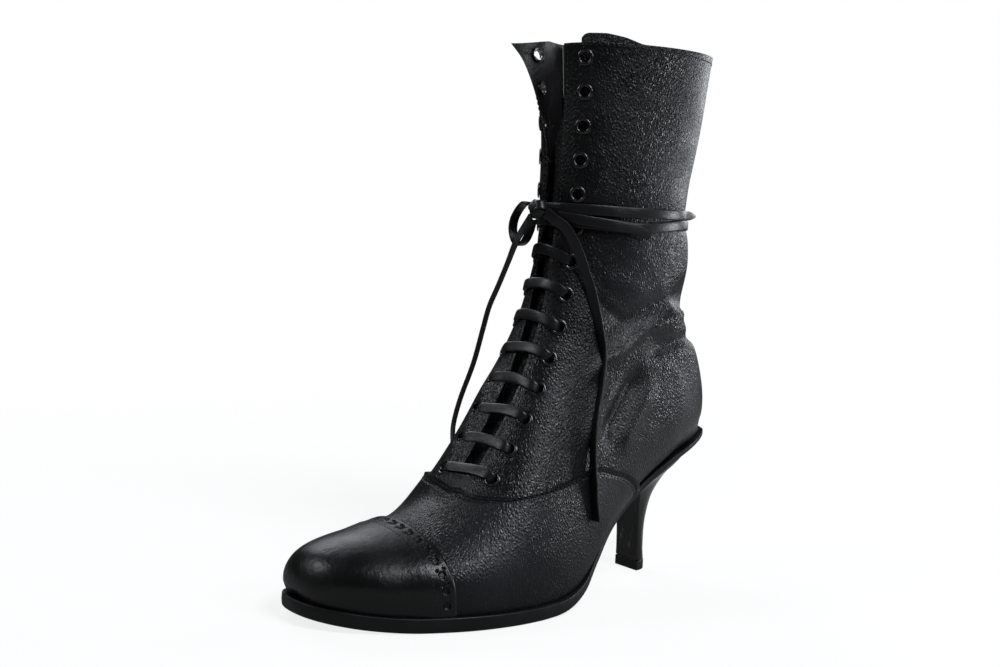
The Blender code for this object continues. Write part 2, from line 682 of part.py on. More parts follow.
def make_vamp():
    whole = VAMP_EDGE[0].section
    grid = []
    for at in VAMP_ROWS:
        margin = VAMP_MARGIN + WAIST_MARGIN * ease(at - whole)
        lift = OVERLAY_LIFT + THROAT_LIFT * ease(1 - abs(at - whole) / THROAT_EASE)
        lateral = np.linspace(reach(at, 1) - margin, vamp_top(at, 1), VAMP_STEPS + 1)
        medial = np.linspace(vamp_top(at, -1), reach(at, -1) + margin, VAMP_STEPS + 1)
        grid.append([lifted(at, across, lift) for across in (*lateral, *medial)])

    def keep(i, j):
        return j != VAMP_STEPS or VAMP_ROWS[i + 1] <= whole

    bm = face_outward(clean(loft(grid, keep)), VAMP_INSIDE)
    give_wall(add_object("vamp", bm, "grain_leather", BOOT), OVERLAY, 1, even=False)


def make_tongue():
    """Sheet under the throat; its top has slid to the outer side and has rounded corners."""
    clear = WALL + TONGUE_CLEAR + TONGUE_THICK
    shares = np.linspace(-1.0, 1.0, TONGUE_STEPS + 1)
    lean_from = NAMES.index("heel")
    grid = []
    for at in TONGUE_ROWS:
        lean = TONGUE_LEAN * ease((at - lean_from) / (COLLAR - lean_from))
        half = TONGUE_HALF * min(1.0, 0.62 + 0.1 * (at - TONGUE_ROWS[0]))
        grid.append([lifted(at, lean + half * share, -clear, curl=False) for share in shares])
    rise = np.array([0.0, 0.0, TONGUE_RISE])
    corner = [1.0 - 0.55 * ease((-share - 0.7) / 0.3) - ease((share - 0.1) / 0.9) for share in shares]
    grid.append([point + rise * share for point, share in zip(grid[-1], corner)])
    bm = face_outward(clean(loft(grid)), INSIDE)
    give_wall(add_object("tongue", bm, "lining_leather", BOOT), TONGUE_THICK, 1)


# Eyelets

def eyelet_places(side):
    """Section numbers of the eyelets on one side, spaced evenly along the facing from the top."""
    steps = np.linspace(THROAT_AT - 0.2, COLLAR, 300)
    line = np.array([skin(at, side * EYELET_LINE) for at in steps])
    run = arc(line)
    low = np.interp(EYELET_LOW_Z, line[:, 2], run)
    top = np.interp(EYELET_TOP_Z[side], line[:, 2], run)
    return [float(np.interp(place, run, steps)) for place in np.linspace(top, low, EYELET_COUNT)]


def make_eyelet_cutters():
    joined = bmesh.new()
    for side in (1, -1):
        for at in PLACES[side]:
            post = bmesh.new()
            bmesh.ops.create_cone(post, cap_ends=True, segments=EYELET_SIDES, radius1=EYELET_CUT,
                                  radius2=EYELET_CUT, depth=4 * WALL)
            place_on(post, skin(at, side * EYELET_LINE), skin_normal(at, side * EYELET_LINE))
            part = bpy.data.meshes.new("post")
            post.to_mesh(part)
            post.free()
            joined.from_mesh(part)
            bpy.data.meshes.remove(part)
    return add_cutter("eyelet_cutters", joined)


def make_eyelets():
    low = -WALL - GAP
    profile = [(EYELET_HOLE, EYELET_SEAT + EYELET_DOME), (EYELET_FLANGE, EYELET_SEAT),
               (EYELET_BARREL, EYELET_SEAT), (EYELET_BARREL, low), (EYELET_HOLE, low)]
    for side, word in ((1, "lateral"), (-1, "medial")):
        for number, at in enumerate(PLACES[side], 1):
            bm = lathe(profile, EYELET_SIDES)
            place_on(bm, skin(at, side * EYELET_LINE), skin_normal(at, side * EYELET_LINE))
            add_object(f"eyelet_{word}_{number:02d}", bm, "eyelet_black", BOOT)


# Lace

def make_bars():
    """Straight bars over the throat, each from one eyelet to its partner."""
    shape = BAR + [BarRow(-row.share, row.lift) for row in BAR[-2::-1]]
    for number in range(LACED):
        index = EYELET_COUNT - LACED + number
        places = (PLACES[-1][index], PLACES[1][index])
        path, sides, normals = [], [], []
        for share, lift in shape:
            at = places[0] + (places[1] - places[0]) * 0.5 * (1 + share)
            across = share * EYELET_LINE
            path.append(lifted(at, across, lift))
            normals.append(skin_normal(at, across))
            sides.append(skin(at + 0.1, across) - skin(at - 0.1, across))
        bm = strip(path, sides, normals, LACE_WIDE, LACE_THICK)
        add_object(f"lace_bar_{number + 1:02d}", bm, "lace_leather", BOOT)


def skin_at_height(across_share, height):
    """Section and place across where the skin crosses a slanting level, by halving."""
    side = 1 if across_share >= 0 else -1

    def place(at):
        return abs(across_share) * reach(at, side)

    low, high = SEAT_BACK - 2.0, float(COLLAR)
    for _ in range(30):
        middle = 0.5 * (low + high)
        point = skin(middle, place(middle))
        if point[2] < height(point[0]):
            low = middle
        else:
            high = middle
    return low, place(low)


def make_turns():
    """Two turns of lace round the ankle, laid on the skin."""
    shares = np.concatenate([np.linspace(0, 1, 17), np.linspace(-1, 0, 17)[1:-1]])
    for name, (front_z, back_z) in TURNS.items():
        def height(x, front_z=front_z, back_z=back_z):
            ankle = SECTIONS[NAMES.index("ankle_3")]
            share = (x - ankle.low_x) / (ankle.top_x - ankle.low_x)
            return back_z + share * (front_z - back_z)
        path, normals, sides = [], [], []
        for share in shares:
            at, across = skin_at_height(share, height)
            normal = skin_normal(at, across * 0.999)
            if abs(share) == 1.0:
                normal = np.array([-1.0, 0.0, 0.0])
            normal = normal - np.array([0, 0, normal[2]])
            normal = normal / np.linalg.norm(normal)
            over_eyelets = EYELET_RISE * ease((TURN_OVER - abs(share)) / TURN_EASE)
            path.append(skin(at, across) + normal * (TURN_LIFT + over_eyelets))
            normals.append(normal)
            sides.append(np.array([0.0, 0.0, 1.0]))
        bm = strip(path, sides, normals, LACE_WIDE, LACE_THICK, closed=True)
        add_object(name, bm, "lace_leather", BOOT)


def make_knot():
    bm = bmesh.new()
    bmesh.ops.create_uvsphere(bm, u_segments=12, v_segments=8, radius=1.0)
    bm.transform(Matrix.Translation(Vector(KNOT_AT)) @ Matrix.Diagonal((*KNOT_RADII, 1.0)))
    add_object("lace_knot", bm, "lace_leather", BOOT)


def make_routes():
    for name, points in ROUTES.items():
        curve = bpy.data.curves.new(name, "CURVE")
        curve.dimensions = "3D"
        curve.bevel_depth = LACE_ROUND * MM
        curve.bevel_resolution = 1
        curve.use_fill_caps = True
        route = smooth_route(points, len(points) + 3)
        spline = curve.splines.new("POLY")
        spline.points.add(len(route) - 1)
        for node, point in zip(spline.points, route):
            node.co = (*((point - CENTRE) * MM), 1.0)
        curve.materials.append(MATERIALS["lace_leather"])
        BOOT.objects.link(bpy.data.objects.new(name, curve))
    for name, end in TIP_ENDS.items():
        direction = Vector(TIP_DIRECTION[name]).normalized()
        bm = bmesh.new()
        bmesh.ops.create_cone(bm, cap_ends=True, segments=10, radius1=TIP_RADIUS, radius2=TIP_RADIUS,
                              depth=TIP_LENGTH)
        place_on(bm, Vector(ROUTES[end][-1]) + direction * (TIP_LENGTH / 2 + GAP), direction)
        add_object(name, bm, "lace_leather", BOOT)


# Zip

def make_zip():
    edge = ZIP_HALF - ZIP_CLEAR
    teeth = [(-ZIP_TEETH_HALF - 0.2, 0.0), (-ZIP_TEETH_HALF, ZIP_RIDGE), (ZIP_TEETH_HALF, ZIP_RIDGE),
             (ZIP_TEETH_HALF + 0.2, 0.0)]
    columns = [(-edge, 0.0), *teeth, (edge, 0.0), (edge, ZIP_SINK - ZIP_BACK), (-edge, ZIP_SINK - ZIP_BACK)]
    inner_rows = [at for at in UPPER_ROWS if ZIP_LOW < at < COLLAR]
    grid = []
    for at in [ZIP_LOW + 0.05, *inner_rows, COLLAR - 0.02]:
        grid.append([lifted(at, zip_across(at, offset), lift - ZIP_SINK) for offset, lift in columns])
    bm = loft(grid, ring=True)
    close_ends(bm)
    add_object("zip", clean(bm), "zip_brass", BOOT)


def slider_frame():
    """Frame of the slider, with x across the zip, y up along it and z out."""
    goal = skin(COLLAR, zip_across(COLLAR, 0.0))[2] - SLIDER_DROP
    steps = np.linspace(ZIP_LOW, COLLAR, 200)
    heights = [skin(at, zip_across(at, 0.0))[2] for at in steps]
    at = float(np.interp(goal, heights, steps))
    across = zip_across(at, 0.0)
    out = Vector(skin_normal(at, across))
    above, below = at + 0.1, at - 0.1
    along = Vector(skin(above, zip_across(above, 0.0)) - skin(below, zip_across(below, 0.0)))
    along = (along - out * along.dot(out)).normalized()
    side = along.cross(out)
    frame = Matrix((side, along, out)).transposed().to_4x4()
    frame.translation = Vector(lifted(at, across, ZIP_RIDGE - ZIP_SINK + GAP))
    return frame


def box(size, centre):
    bm = bmesh.new()
    bmesh.ops.create_cube(bm, size=1.0)
    bm.transform(Matrix.Translation(Vector(centre)) @ Matrix.Diagonal((*size, 1.0)))
    return bm


def make_slider():
    frame = slider_frame()
    thick = SLIDER_SIZE[2]
    body = box(SLIDER_SIZE, (0, 0, thick / 2))
    body.transform(frame)
    slider = add_object("zip_slider", body, "zip_steel", BOOT)
    half, height = BRIDGE_SIZE[1] / 2, BRIDGE_SIZE[2]
    inner, under = half - BRIDGE_BAR, height - BRIDGE_BAR
    outline = [(-half, -BRIDGE_ROOT), (-half, height), (half, height), (half, -BRIDGE_ROOT),
               (inner, -BRIDGE_ROOT), (inner, under), (-inner, under), (-inner, -BRIDGE_ROOT)]
    rows = [[(x, y, thick + z) for y, z in outline] for x in (-BRIDGE_SIZE[0] / 2, BRIDGE_SIZE[0] / 2)]
    arch = loft(rows, ring=True)
    close_ends(arch)
    clean(arch)
    arch.transform(frame)
    combine(slider, add_cutter("zip_bridge", arch), "UNION")


def pull_axis():
    """Middle of the pull's upper bar, under the bridge, in the slider's frame."""
    return Vector((0, 0, SLIDER_SIZE[2] + 0.5 * (BRIDGE_SIZE[2] - BRIDGE_BAR)))


def make_pull():
    frame = slider_frame()
    axis = pull_axis()
    across, along = RING_HALF - RING_BEND, 0.5 * RING_DROP - RING_BEND
    points = []
    for quarter, (x, y) in enumerate([(1, 1), (-1, 1), (-1, -1), (1, -1)]):
        for step in range(3):
            turn = math.pi / 2 * (quarter + step / 2)
            points.append(axis + Vector((x * across + RING_BEND * math.cos(turn),
                                         y * along + RING_BEND * math.sin(turn) - 0.5 * RING_DROP, 0)))
    curve = bpy.data.curves.new("zip_pull_ring", "CURVE")
    curve.dimensions = "3D"
    curve.bevel_depth = RING_WIRE * MM
    curve.bevel_resolution = 1
    spline = curve.splines.new("POLY")
    spline.points.add(len(points) - 1)
    spline.use_cyclic_u = True
    for node, point in zip(spline.points, points):
        place = np.array(frame @ point)
        node.co = (*((place - CENTRE) * MM), 1.0)
    curve.materials.append(MATERIALS["zip_steel"])
    ring = bpy.data.objects.new("zip_pull_ring", curve)
    BOOT.objects.link(ring)

    top = -RING_DROP - RING_WIRE - GAP
    shoulder = top - TAB_LENGTH + TAB_POINT
    outline = [(-TAB_TOP_HALF, top), (TAB_TOP_HALF, top), (TAB_HALF, shoulder), (0.0, top - TAB_LENGTH),
               (-TAB_HALF, shoulder)]
    rows = [[(x, y, axis.z + z) for x, y in outline] for z in (-TAB_THICK / 2, TAB_THICK / 2)]
    bm = loft(rows, ring=True)
    close_ends(bm)
    clean(bm)
    bm.transform(frame)
    tab = add_object("zip_pull_tab", bm, "lace_leather", BOOT)

    hinge = bpy.data.objects.new("zip_pull_hinge", None)
    BOOT.objects.link(hinge)
    hinge.matrix_world = Matrix.Translation(Vector((np.array(frame @ axis) - CENTRE) * MM))
    for piece in (ring, tab):
        piece.parent = hinge
        piece.matrix_parent_inverse = hinge.matrix_world.inverted()


clear_scene()
BOOT = make_collection("Lace-up ankle boot")
CUTTERS = make_collection("Cutters")
MATERIALS = make_materials()
PLACES = {side: eyelet_places(side) for side in (1, -1)}
make_outsole()
make_heel()
make_heel_tip()
make_insole()
make_upper()
make_toe_cap()
make_vamp()
make_tongue()
make_eyelets()
make_bars()
make_turns()
make_knot()
make_routes()
make_zip()
make_slider()
make_pull()
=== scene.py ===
"""Looks of the lace-up ankle boot: leathers, stitching, eyelets, lace, zip, studio light and camera."""
import math
from collections import namedtuple
from functools import lru_cache

import bmesh
import bpy
import numpy as np
from mathutils import Matrix, Vector


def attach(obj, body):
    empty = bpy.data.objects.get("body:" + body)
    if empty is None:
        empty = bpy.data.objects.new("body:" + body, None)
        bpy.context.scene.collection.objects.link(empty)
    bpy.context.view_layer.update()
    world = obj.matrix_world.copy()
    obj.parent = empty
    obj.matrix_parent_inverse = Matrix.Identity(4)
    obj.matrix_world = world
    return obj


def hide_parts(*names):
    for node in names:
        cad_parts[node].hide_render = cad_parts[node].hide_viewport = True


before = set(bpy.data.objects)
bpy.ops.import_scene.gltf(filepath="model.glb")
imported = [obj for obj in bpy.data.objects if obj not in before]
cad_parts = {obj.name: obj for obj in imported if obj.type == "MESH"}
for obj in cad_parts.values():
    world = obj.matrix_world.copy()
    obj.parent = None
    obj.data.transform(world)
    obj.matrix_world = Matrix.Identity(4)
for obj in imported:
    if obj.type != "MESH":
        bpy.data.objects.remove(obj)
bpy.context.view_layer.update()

# Tables are in millimetres in the shoe's own frame: x runs from the back of the heel to the toe,
# y to the outer side, z up from the floor. CENTRE moves the boot over the middle of its box.
MM = 0.001
CENTRE = np.array([121.5, 3.0, 0.0])

# Camera: where the photograph's stood, turned to the boot
CAMERA_AT = (488.9, 441.4, 168.9)
CAMERA_RIGHT = (-0.7839, 0.6192, 0.0455)
CAMERA_UP = (-0.0180, -0.0958, 0.9953)
CAMERA_BACK = (0.6206, 0.7793, 0.0863)
CAMERA_LENS = 45.0

# Driving dimensions; a share is one of a half section's length, SEAT_CLOSING is per section
WALL = 1.8
SEAT_CLOSING = 3.0
FEATHER_INSET = 3.8
FEATHER_GAP = 0.55
HEEL_GAP = 0.15
TIP_HEIGHT = 5.0
THROAT_HALF = 4.2
THROAT_SHARE = 0.15
EYELET_LINE = 15.0
EYELET_COUNT = 14
LACED = 8
EYELET_TOP_Z = {1: 246.0, -1: 249.0}
EYELET_LOW_Z = 58.5
EYELET_CUT = 3.0
EYELET_DRAW = 1.2
LACE_WIDE = 5.0
LACE_THICK = 1.2
LACE_CORNER = 0.45
LACE_COLUMNS = 16
TONGUE_THICK = 2.0
TONGUE_HALF = 21.0
TONGUE_CLEAR = 1.7
TONGUE_LEAN = 33.0
TONGUE_RISE = 4.4

# Sole, a row for each station from the toe to the heel
SoleRow = namedtuple("SoleRow", "x lateral medial bottom thick")
SOLE = [SoleRow(*row) for row in (
    (236.5, -8.0, -8.0, 4.3, 6.2),
    (234.0, 4.0, -19.2, 3.8, 6.3),
    (226.4, 14.6, -26.7, 2.5, 6.5),
    (214.0, 24.2, -31.6, 0.9, 6.5),
    (198.0, 33.5, -35.5, 0.0, 6.5),
    (178.0, 41.6, -38.0, 0.0, 6.5),
    (158.0, 45.4, -38.0, 0.0, 6.3),
    (140.0, 45.6, -34.0, 0.1, 6.3),
    (126.0, 44.0, -28.0, 1.5, 6.1),
    (112.0, 38.6, -21.5, 6.2, 5.4),
    (98.0, 30.6, -18.0, 16.0, 4.4),
    (82.0, 23.6, -17.5, 29.6, 3.6),
    (64.0, 21.5, -19.0, 43.2, 3.5),
    (46.0, 22.5, -21.5, 54.9, 3.1),
    (28.0, 21.5, -21.0, 63.5, 2.5),
    (14.5, 14.5, -14.5, 67.2, 2.3),
    (9.0, 7.5, -7.5, 68.1, 2.2),
    (7.0, 0.0, 0.0, 68.3, 2.2),
)]

# Upper, a row for each section from the toe to the collar. A section is a slanting plane from the
# point (low_x, low_z) on the sole or the back to (top_x, top_z) on the front. lateral and medial are
# its widest places, at the share wide_at of its height, crest is the y of its top, and full shapes
# the arc up to the crest. throat is the distance from the crest to the middle of the lacing.
Section = namedtuple("Section", "name low_x low_z top_x top_z lateral medial crest wide_at full throat")
ON_SOLE = None
SECTIONS = [Section(*row) for row in (
    ("tip", 231.8, ON_SOLE, 232.2, 11.6, -7.6, -8.4, -8.0, 0.50, 1.00, 0.0),
    ("toe_1", 229.8, ON_SOLE, 233.6, 17.4, 3.0, -17.8, -8.0, 0.45, 0.95, 0.0),
    ("toe_2", 225.2, ON_SOLE, 231.4, 24.0, 10.8, -23.0, -7.5, 0.40, 0.95, 0.0),
    ("toe_3", 217.4, ON_SOLE, 225.2, 29.4, 18.4, -26.6, -6.5, 0.36, 0.95, 0.0),
    ("toe_4", 205.6, ON_SOLE, 212.2, 33.2, 26.8, -30.4, -5.0, 0.34, 1.00, 0.0),
    ("cap", 184.0, ON_SOLE, 188.0, 37.0, 36.2, -34.0, -3.5, 0.32, 1.05, 4.0),
    ("vamp", 170.0, ON_SOLE, 174.0, 43.4, 40.8, -35.4, -3.0, 0.30, 1.05, 8.0),
    ("throat", 150.0, ON_SOLE, 158.0, 60.0, 43.0, -36.4, -3.0, 0.28, 0.92, 9.5),
    ("waist_1", 128.0, ON_SOLE, 146.0, 76.5, 42.0, -35.2, -3.0, 0.30, 0.82, 9.0),
    ("waist_2", 104.0, ON_SOLE, 134.5, 95.5, 37.2, -34.5, -2.5, 0.32, 0.76, 7.5),
    ("waist_3", 78.0, ON_SOLE, 125.5, 113.5, 32.5, -32.0, -2.0, 0.32, 0.78, 5.0),
    ("seat_1", 52.0, ON_SOLE, 119.0, 130.0, 30.0, -30.0, -1.5, 0.32, 0.80, 3.0),
    ("seat_2", 30.0, ON_SOLE, 115.5, 144.0, 28.5, -28.5, -1.0, 0.34, 0.80, 1.5),
    ("seat_3", 13.5, ON_SOLE, 113.8, 154.0, 27.5, -27.5, -0.5, 0.38, 0.82, 0.5),
    ("seat_back", 8.2, 70.8, 113.0, 160.0, 27.0, -27.0, 0.0, 0.40, 0.85, 0.0),
    ("heel", 8.5, 86.0, 112.2, 168.0, 27.0, -27.0, 0.0, 0.43, 0.85, 0.0),
    ("ankle_1", 17.0, 104.0, 111.6, 177.5, 27.0, -27.0, 0.0, 0.46, 0.85, 0.0),
    ("ankle_2", 30.0, 122.0, 111.0, 187.0, 27.5, -27.5, 0.0, 0.48, 0.85, 0.0),
    ("ankle_3", 30.0, 140.0, 110.5, 198.0, 28.0, -28.0, 0.0, 0.50, 0.85, 0.0),
    ("shaft_1", 28.5, 160.0, 110.0, 210.0, 28.5, -28.5, 0.0, 0.50, 0.85, 0.0),
    ("shaft_2", 31.0, 181.0, 109.8, 222.0, 28.5, -28.5, 0.0, 0.50, 0.85, 0.0),
    ("shaft_3", 28.0, 204.0, 110.0, 234.0, 29.0, -29.0, 0.0, 0.50, 0.85, 0.0),
    ("shaft_4", 23.0, 230.0, 110.6, 245.0, 30.0, -30.0, 0.0, 0.50, 0.85, 0.0),
    ("collar", 18.5, 254.5, 111.5, 252.5, 31.0, -31.0, 0.0, 0.50, 0.85, 0.0),
)]
NAMES = [row.name for row in SECTIONS]
CAP_AT = NAMES.index("cap")
SEAT_BACK = NAMES.index("seat_back")
HEEL_AT = NAMES.index("heel")
COLLAR = NAMES.index("collar")
THROAT_AT = NAMES.index("throat") + 0.1
ANKLE_AT = NAMES.index("ankle_2") + 0.5

# The inner facing is free above the lacing and curls forward and outward at its top corner
CURL_FROM = ANKLE_AT
CURL_REACH = 26.0
CURL_MOVE = np.array([10.0, -30.0, 1.5])
CURL_RISE = 1.6
CURL_FOLD = 2.0
INNER_RISE = np.array([0.0, 0.0, 4.5])
INNER_RISE_FROM = NAMES.index("shaft_3")
INNER_RISE_ENDS = (0.25, 0.5)

# Upper edge of the vamp: its rise up the wall from the sole, in sections
VampEdge = namedtuple("VampEdge", "section rise")
VAMP_EDGE = [VampEdge(*row) for row in (
    (6.60, 90.0), (6.66, 64.0), (6.75, 55.0), (7.00, 50.5),
    (7.50, 48.0), (8.70, 48.0), (9.20, 45.5), (9.70, 40.5),
    (10.00, 32.0), (10.20, 25.0), (10.34, 16.0), (10.42, 5.0),
    (10.44, 0.0),
)]

# Heel, a row for each ring from the tip up; the last row follows the sole
HeelRow = namedtuple("HeelRow", "back_x back_z front_x front_z half")
HEEL = [HeelRow(*row) for row in (
    (41.0, 5.3, 49.6, 5.3, 7.6),
    (41.8, 12.0, 49.8, 12.0, 7.5),
    (41.4, 25.0, 50.4, 24.0, 7.8),
    (38.0, 38.0, 52.0, 33.5, 9.4),
    (32.0, 47.0, 54.2, 40.0, 12.0),
    (24.4, 54.8, 56.6, 43.0, 14.6),
    (15.4, 61.8, 58.2, 45.0, 17.4),
    (8.6, 66.4, 59.6, 46.0, 19.6),
)]
HEEL_ROUND = 0.8
HEEL_EDGE = 0.5

# Zip on the inner side
ZIP_HEAD = (80.0, 254.0)
ZIP_FOOT = (71.0, 100.0)
ZIP_LOW = NAMES.index("seat_2") + 0.5
ZIP_HALF = 5.0
ZIP_SHARE = 0.05

# Folds of the worn leather: soft ridges (height above 0) and troughs along listed lines
Fold = namedtuple("Fold", "height width points")
FOLDS = [Fold(*row) for row in (
    (2.7, 2.5, [(34, 16, 131), (44, 22, 130), (66, 26, 125), (75, 26, 121), (85, 26, 114),
                (96, 26, 108.5), (111, 26, 97)]),
    (-2.0, 5.0, [(36, 17, 141), (50, 24, 138), (70, 27, 133), (88, 25, 124), (103, 23, 112)]),
    (-3.2, 5.0, [(74, 28, 106), (87, 30, 88), (98, 32, 74)]),
    (1.8, 4.5, [(66, 29, 97), (78, 31, 82), (88, 33, 68)]),
    (1.8, 5.0, [(92, 29, 100), (101, 30, 86), (108, 32, 72)]),
    (-2.3, 3.4, [(24, 14, 120), (38, 22, 119), (56, 27, 116), (70, 28, 111)]),
    (-1.6, 3.2, [(100, 22, 140), (92, 24, 132), (80, 27, 127)]),
    (1.4, 5.0, [(98, 24, 150), (86, 27, 143), (70, 28, 141)]),
    (2.0, 10.0, [(158, -9, 58), (150, -9, 70), (140, -9, 86), (131, -9, 102)]),
    (-1.8, 7.0, [(176, -26, 36), (170, -10, 46), (166, 6, 49)]),
    (1.4, 4.5, [(34, -16, 131), (46, -22, 129), (66, -26, 124), (84, -27, 115), (104, -27, 103)]),
    (-1.5, 5.0, [(36, -17, 141), (52, -24, 137), (72, -27, 131), (92, -26, 121), (106, -23, 111)]),
    (-1.2, 4.5, [(26, -15, 118), (42, -23, 117), (60, -27, 112), (78, -29, 103)]),
)]
FOLD_STEPS = 40
FOLD_FADE = 0.25

# Painted sheen: lighter patches painted into the leather's colour where reflections would brighten it,
# the same on either side
PaintedSheen = namedtuple("PaintedSheen", "strength size middle")
PAINTED_SHEENS = [PaintedSheen(1.2, 20.0, (34, 23, 100)), PaintedSheen(1.0, 15.0, (72, 27, 148)),
         PaintedSheen(0.45, 22.0, (58, 30, 192)), PaintedSheen(0.75, 20.0, (172, 42, 36)),
         PaintedSheen(0.4, 16.0, (150, 44, 40))]

# Rolls of leather above and below the turns of lace; back is 1 where the roll is at the back only
Roll = namedtuple("Roll", "height level width back")
ROLLS = [Roll(-1.3, 175.0, 6.0, 0.0), Roll(1.5, 152.0, 11.0, 1.0), Roll(1.2, 214.0, 24.0, 1.0)]
ROLL_END, ROLL_FADE = 70.0, 40.0

# Free lace: the routes of the solids, point by point
KNOT_AT = (119.2, 1.0, 176.9)
LOOP_ROUTE = [
    (119.6, -4.4, 179.0), (117.4, -10.6, 179.8), (116.4, -16.4, 176.4), (116.2, -19.9, 171.6),
    (116.2, -20.4, 166.6), (116.5, -17.8, 161.8), (117.0, -13.4, 160.2), (117.6, -9.0, 162.4),
    (118.8, -4.8, 166.8), (119.8, -2.0, 171.8),
]
OUTER_END_ROUTE = [
    (118.6, 6.2, 175.6), (116.4, 9.6, 172.6), (112.9, 13.6, 169.0), (109.7, 16.3, 162.6),
    (106.8, 17.8, 156.0), (104.0, 19.1, 148.0), (101.8, 20.7, 140.8), (99.1, 23.3, 127.4),
    (97.5, 26.2, 113.1), (100.5, 29.2, 98.6), (107.0, 33.4, 80.4), (110.2, 37.0, 65.4),
    (110.8, 39.2, 53.8), (108.2, 39.5, 38.7),
]
INNER_END_ROUTE = [
    (119.2, -4.0, 173.4), (120.2, -8.6, 166.9), (121.9, -11.0, 160.9), (123.9, -14.0, 150.8),
    (125.6, -18.0, 140.2), (127.5, -21.5, 130.5), (128.4, -24.5, 119.4), (129.6, -29.0, 103.0),
    (131.4, -35.4, 86.0), (132.6, -38.4, 74.0), (132.4, -39.4, 66.0), (130.9, -40.0, 50.8),
]


# Curves and sections

def smooth(rows, at):
    """Points on the smooth curve through evenly numbered rows."""
    rows = np.asarray(rows, float)
    at = np.clip(np.asarray(at, float), 0.0, len(rows) - 1.0)
    k = np.minimum(at.astype(int), len(rows) - 2)
    t = (at - k)[..., None]
    p1, p2 = rows[k], rows[k + 1]
    p0 = np.where((k > 0)[..., None], rows[np.maximum(k - 1, 0)], 2 * p1 - p2)
    p3 = np.where((k + 2 < len(rows))[..., None], rows[np.minimum(k + 2, len(rows) - 1)], 2 * p2 - p1)
    return 0.5 * (2 * p1 + (p2 - p0) * t + (2 * p0 - 5 * p1 + 4 * p2 - p3) * t ** 2
                  + (3 * p1 - p0 - 3 * p2 + p3) * t ** 3)


def smooth_route(points, steps):
    return smooth(points, np.linspace(0, len(points) - 1, steps))


def arc(points):
    return np.concatenate([[0.0], np.cumsum(np.linalg.norm(np.diff(points, axis=0), axis=1))])


def resampled(points, run, places):
    """Rows at given places along a line, run being the length up to each row."""
    return np.stack([np.interp(places, run, column) for column in points.T], axis=-1)


def evenly(points, pitch):
    """Points along a line at an even pitch."""
    run = arc(points)
    return resampled(points, run, np.linspace(0, run[-1], max(2, int(round(run[-1] / pitch)) + 1)))


def ease(value):
    value = np.clip(value, 0.0, 1.0)
    return value * value * (3 - 2 * value)


def rising(value, start, over):
    """0 up to start, then softly up to 1."""
    return ease((value - start) / over)


def falling(value, end, over):
    """1 well under end, softly down to 0 at end."""
    return ease((end - value) / over)


def unit(vectors):
    vectors = np.asarray(vectors, float)
    return vectors / np.maximum(np.linalg.norm(vectors, axis=-1, keepdims=True), 1e-9)


def sole_outline(steps):
    """The sole's outline from the toe along the outer side to the heel and back on the inner side."""
    loop = [(row.x, row.lateral) for row in SOLE] + [(row.x, row.medial) for row in SOLE[-2:0:-1]]
    ring = loop[-2:] + loop + loop[:3]
    return smooth(ring, 2 + np.linspace(0, len(loop), 2 * steps + 1))


def sorted_edge(points):
    return np.array(sorted(map(tuple, points)))


OUTLINE_STEPS = 680
PROFILE_STEPS = 720
OUTLINE = sole_outline(OUTLINE_STEPS)
LATERAL_EDGE = sorted_edge(OUTLINE[:OUTLINE_STEPS + 1])
MEDIAL_EDGE = sorted_edge(OUTLINE[OUTLINE_STEPS:])
PROFILE = sorted_edge(smooth_route([(row.x, row.bottom, row.thick) for row in SOLE], PROFILE_STEPS))


def sole_bottom(x):
    return np.maximum(0.0, np.interp(x, PROFILE[:, 0], PROFILE[:, 1]))


def sole_top(x):
    return sole_bottom(x) + np.interp(x, PROFILE[:, 0], PROFILE[:, 2])


@lru_cache(maxsize=None)
def inset_edge(side, inset):
    """The sole's edge moved in by an inset, square to the outline, sorted from heel to toe."""
    edge = LATERAL_EDGE if side > 0 else MEDIAL_EDGE
    along = unit(np.gradient(edge, axis=0))
    moved = edge + inset * side * np.stack([along[:, 1], -along[:, 0]], axis=-1)
    return moved[np.argsort(moved[:, 0])]


HALF_STEPS = 100
SKIN_STEP = 0.025
SKIN_SHARES = 161
ROWS = np.array([
    (row.low_x, sole_top(row.low_x) + FEATHER_GAP if row.low_z is ON_SOLE else row.low_z, *row[3:])
    for row in SECTIONS])


def half_section(at, side):
    """Half of a section, from the sole or the back (first point) up to the crest (last point)."""
    low_x, low_z, top_x, top_z, lateral, medial, crest, wide_at, full, _ = smooth(ROWS, at)
    wide = lateral if side > 0 else medial
    start = 0.0
    if at < SEAT_BACK:
        low_z = sole_top(low_x) + FEATHER_GAP
        edge = inset_edge(side, FEATHER_INSET)
        start = np.interp(low_x, edge[:, 0], edge[:, 1]) * min(1.0, SEAT_CLOSING * (SEAT_BACK - at))
    turn = np.linspace(0, math.pi / 2, HALF_STEPS)
    y = np.concatenate([start + (wide - start) * np.sin(turn),
                        crest + (wide - crest) * np.maximum(np.cos(turn[1:]), 0.0) ** full])
    lift = np.concatenate([wide_at * (1 - np.cos(turn)),
                           wide_at + (1 - wide_at) * np.sin(turn[1:]) ** min(1.0, 2.0 - full)])
    return np.stack([low_x + lift * (top_x - low_x), y, low_z + lift * (top_z - low_z)], axis=-1)


def skin_tables():
    """Points from the crest down both halves of closely spaced sections, and the halves' lengths."""
    places = np.arange(0, COLLAR + SKIN_STEP / 2, SKIN_STEP)
    points = np.empty((2, len(places), SKIN_SHARES, 3))
    lengths = np.empty((2, len(places)))
    for k, side in enumerate((1, -1)):
        for i, at in enumerate(places):
            half = half_section(at, side)[::-1]
            run = arc(half)
            lengths[k, i] = run[-1]
            points[k, i] = resampled(half, run, np.linspace(0, run[-1], SKIN_SHARES))
    return places, points, lengths


SKIN_AT, SKIN_POINTS, SKIN_LENGTHS = skin_tables()
THROAT_MIDDLE = smooth(ROWS, SKIN_AT)[:, -1]


def half_length(at, side):
    return np.interp(at, SKIN_AT, SKIN_LENGTHS[0 if side > 0 else 1])


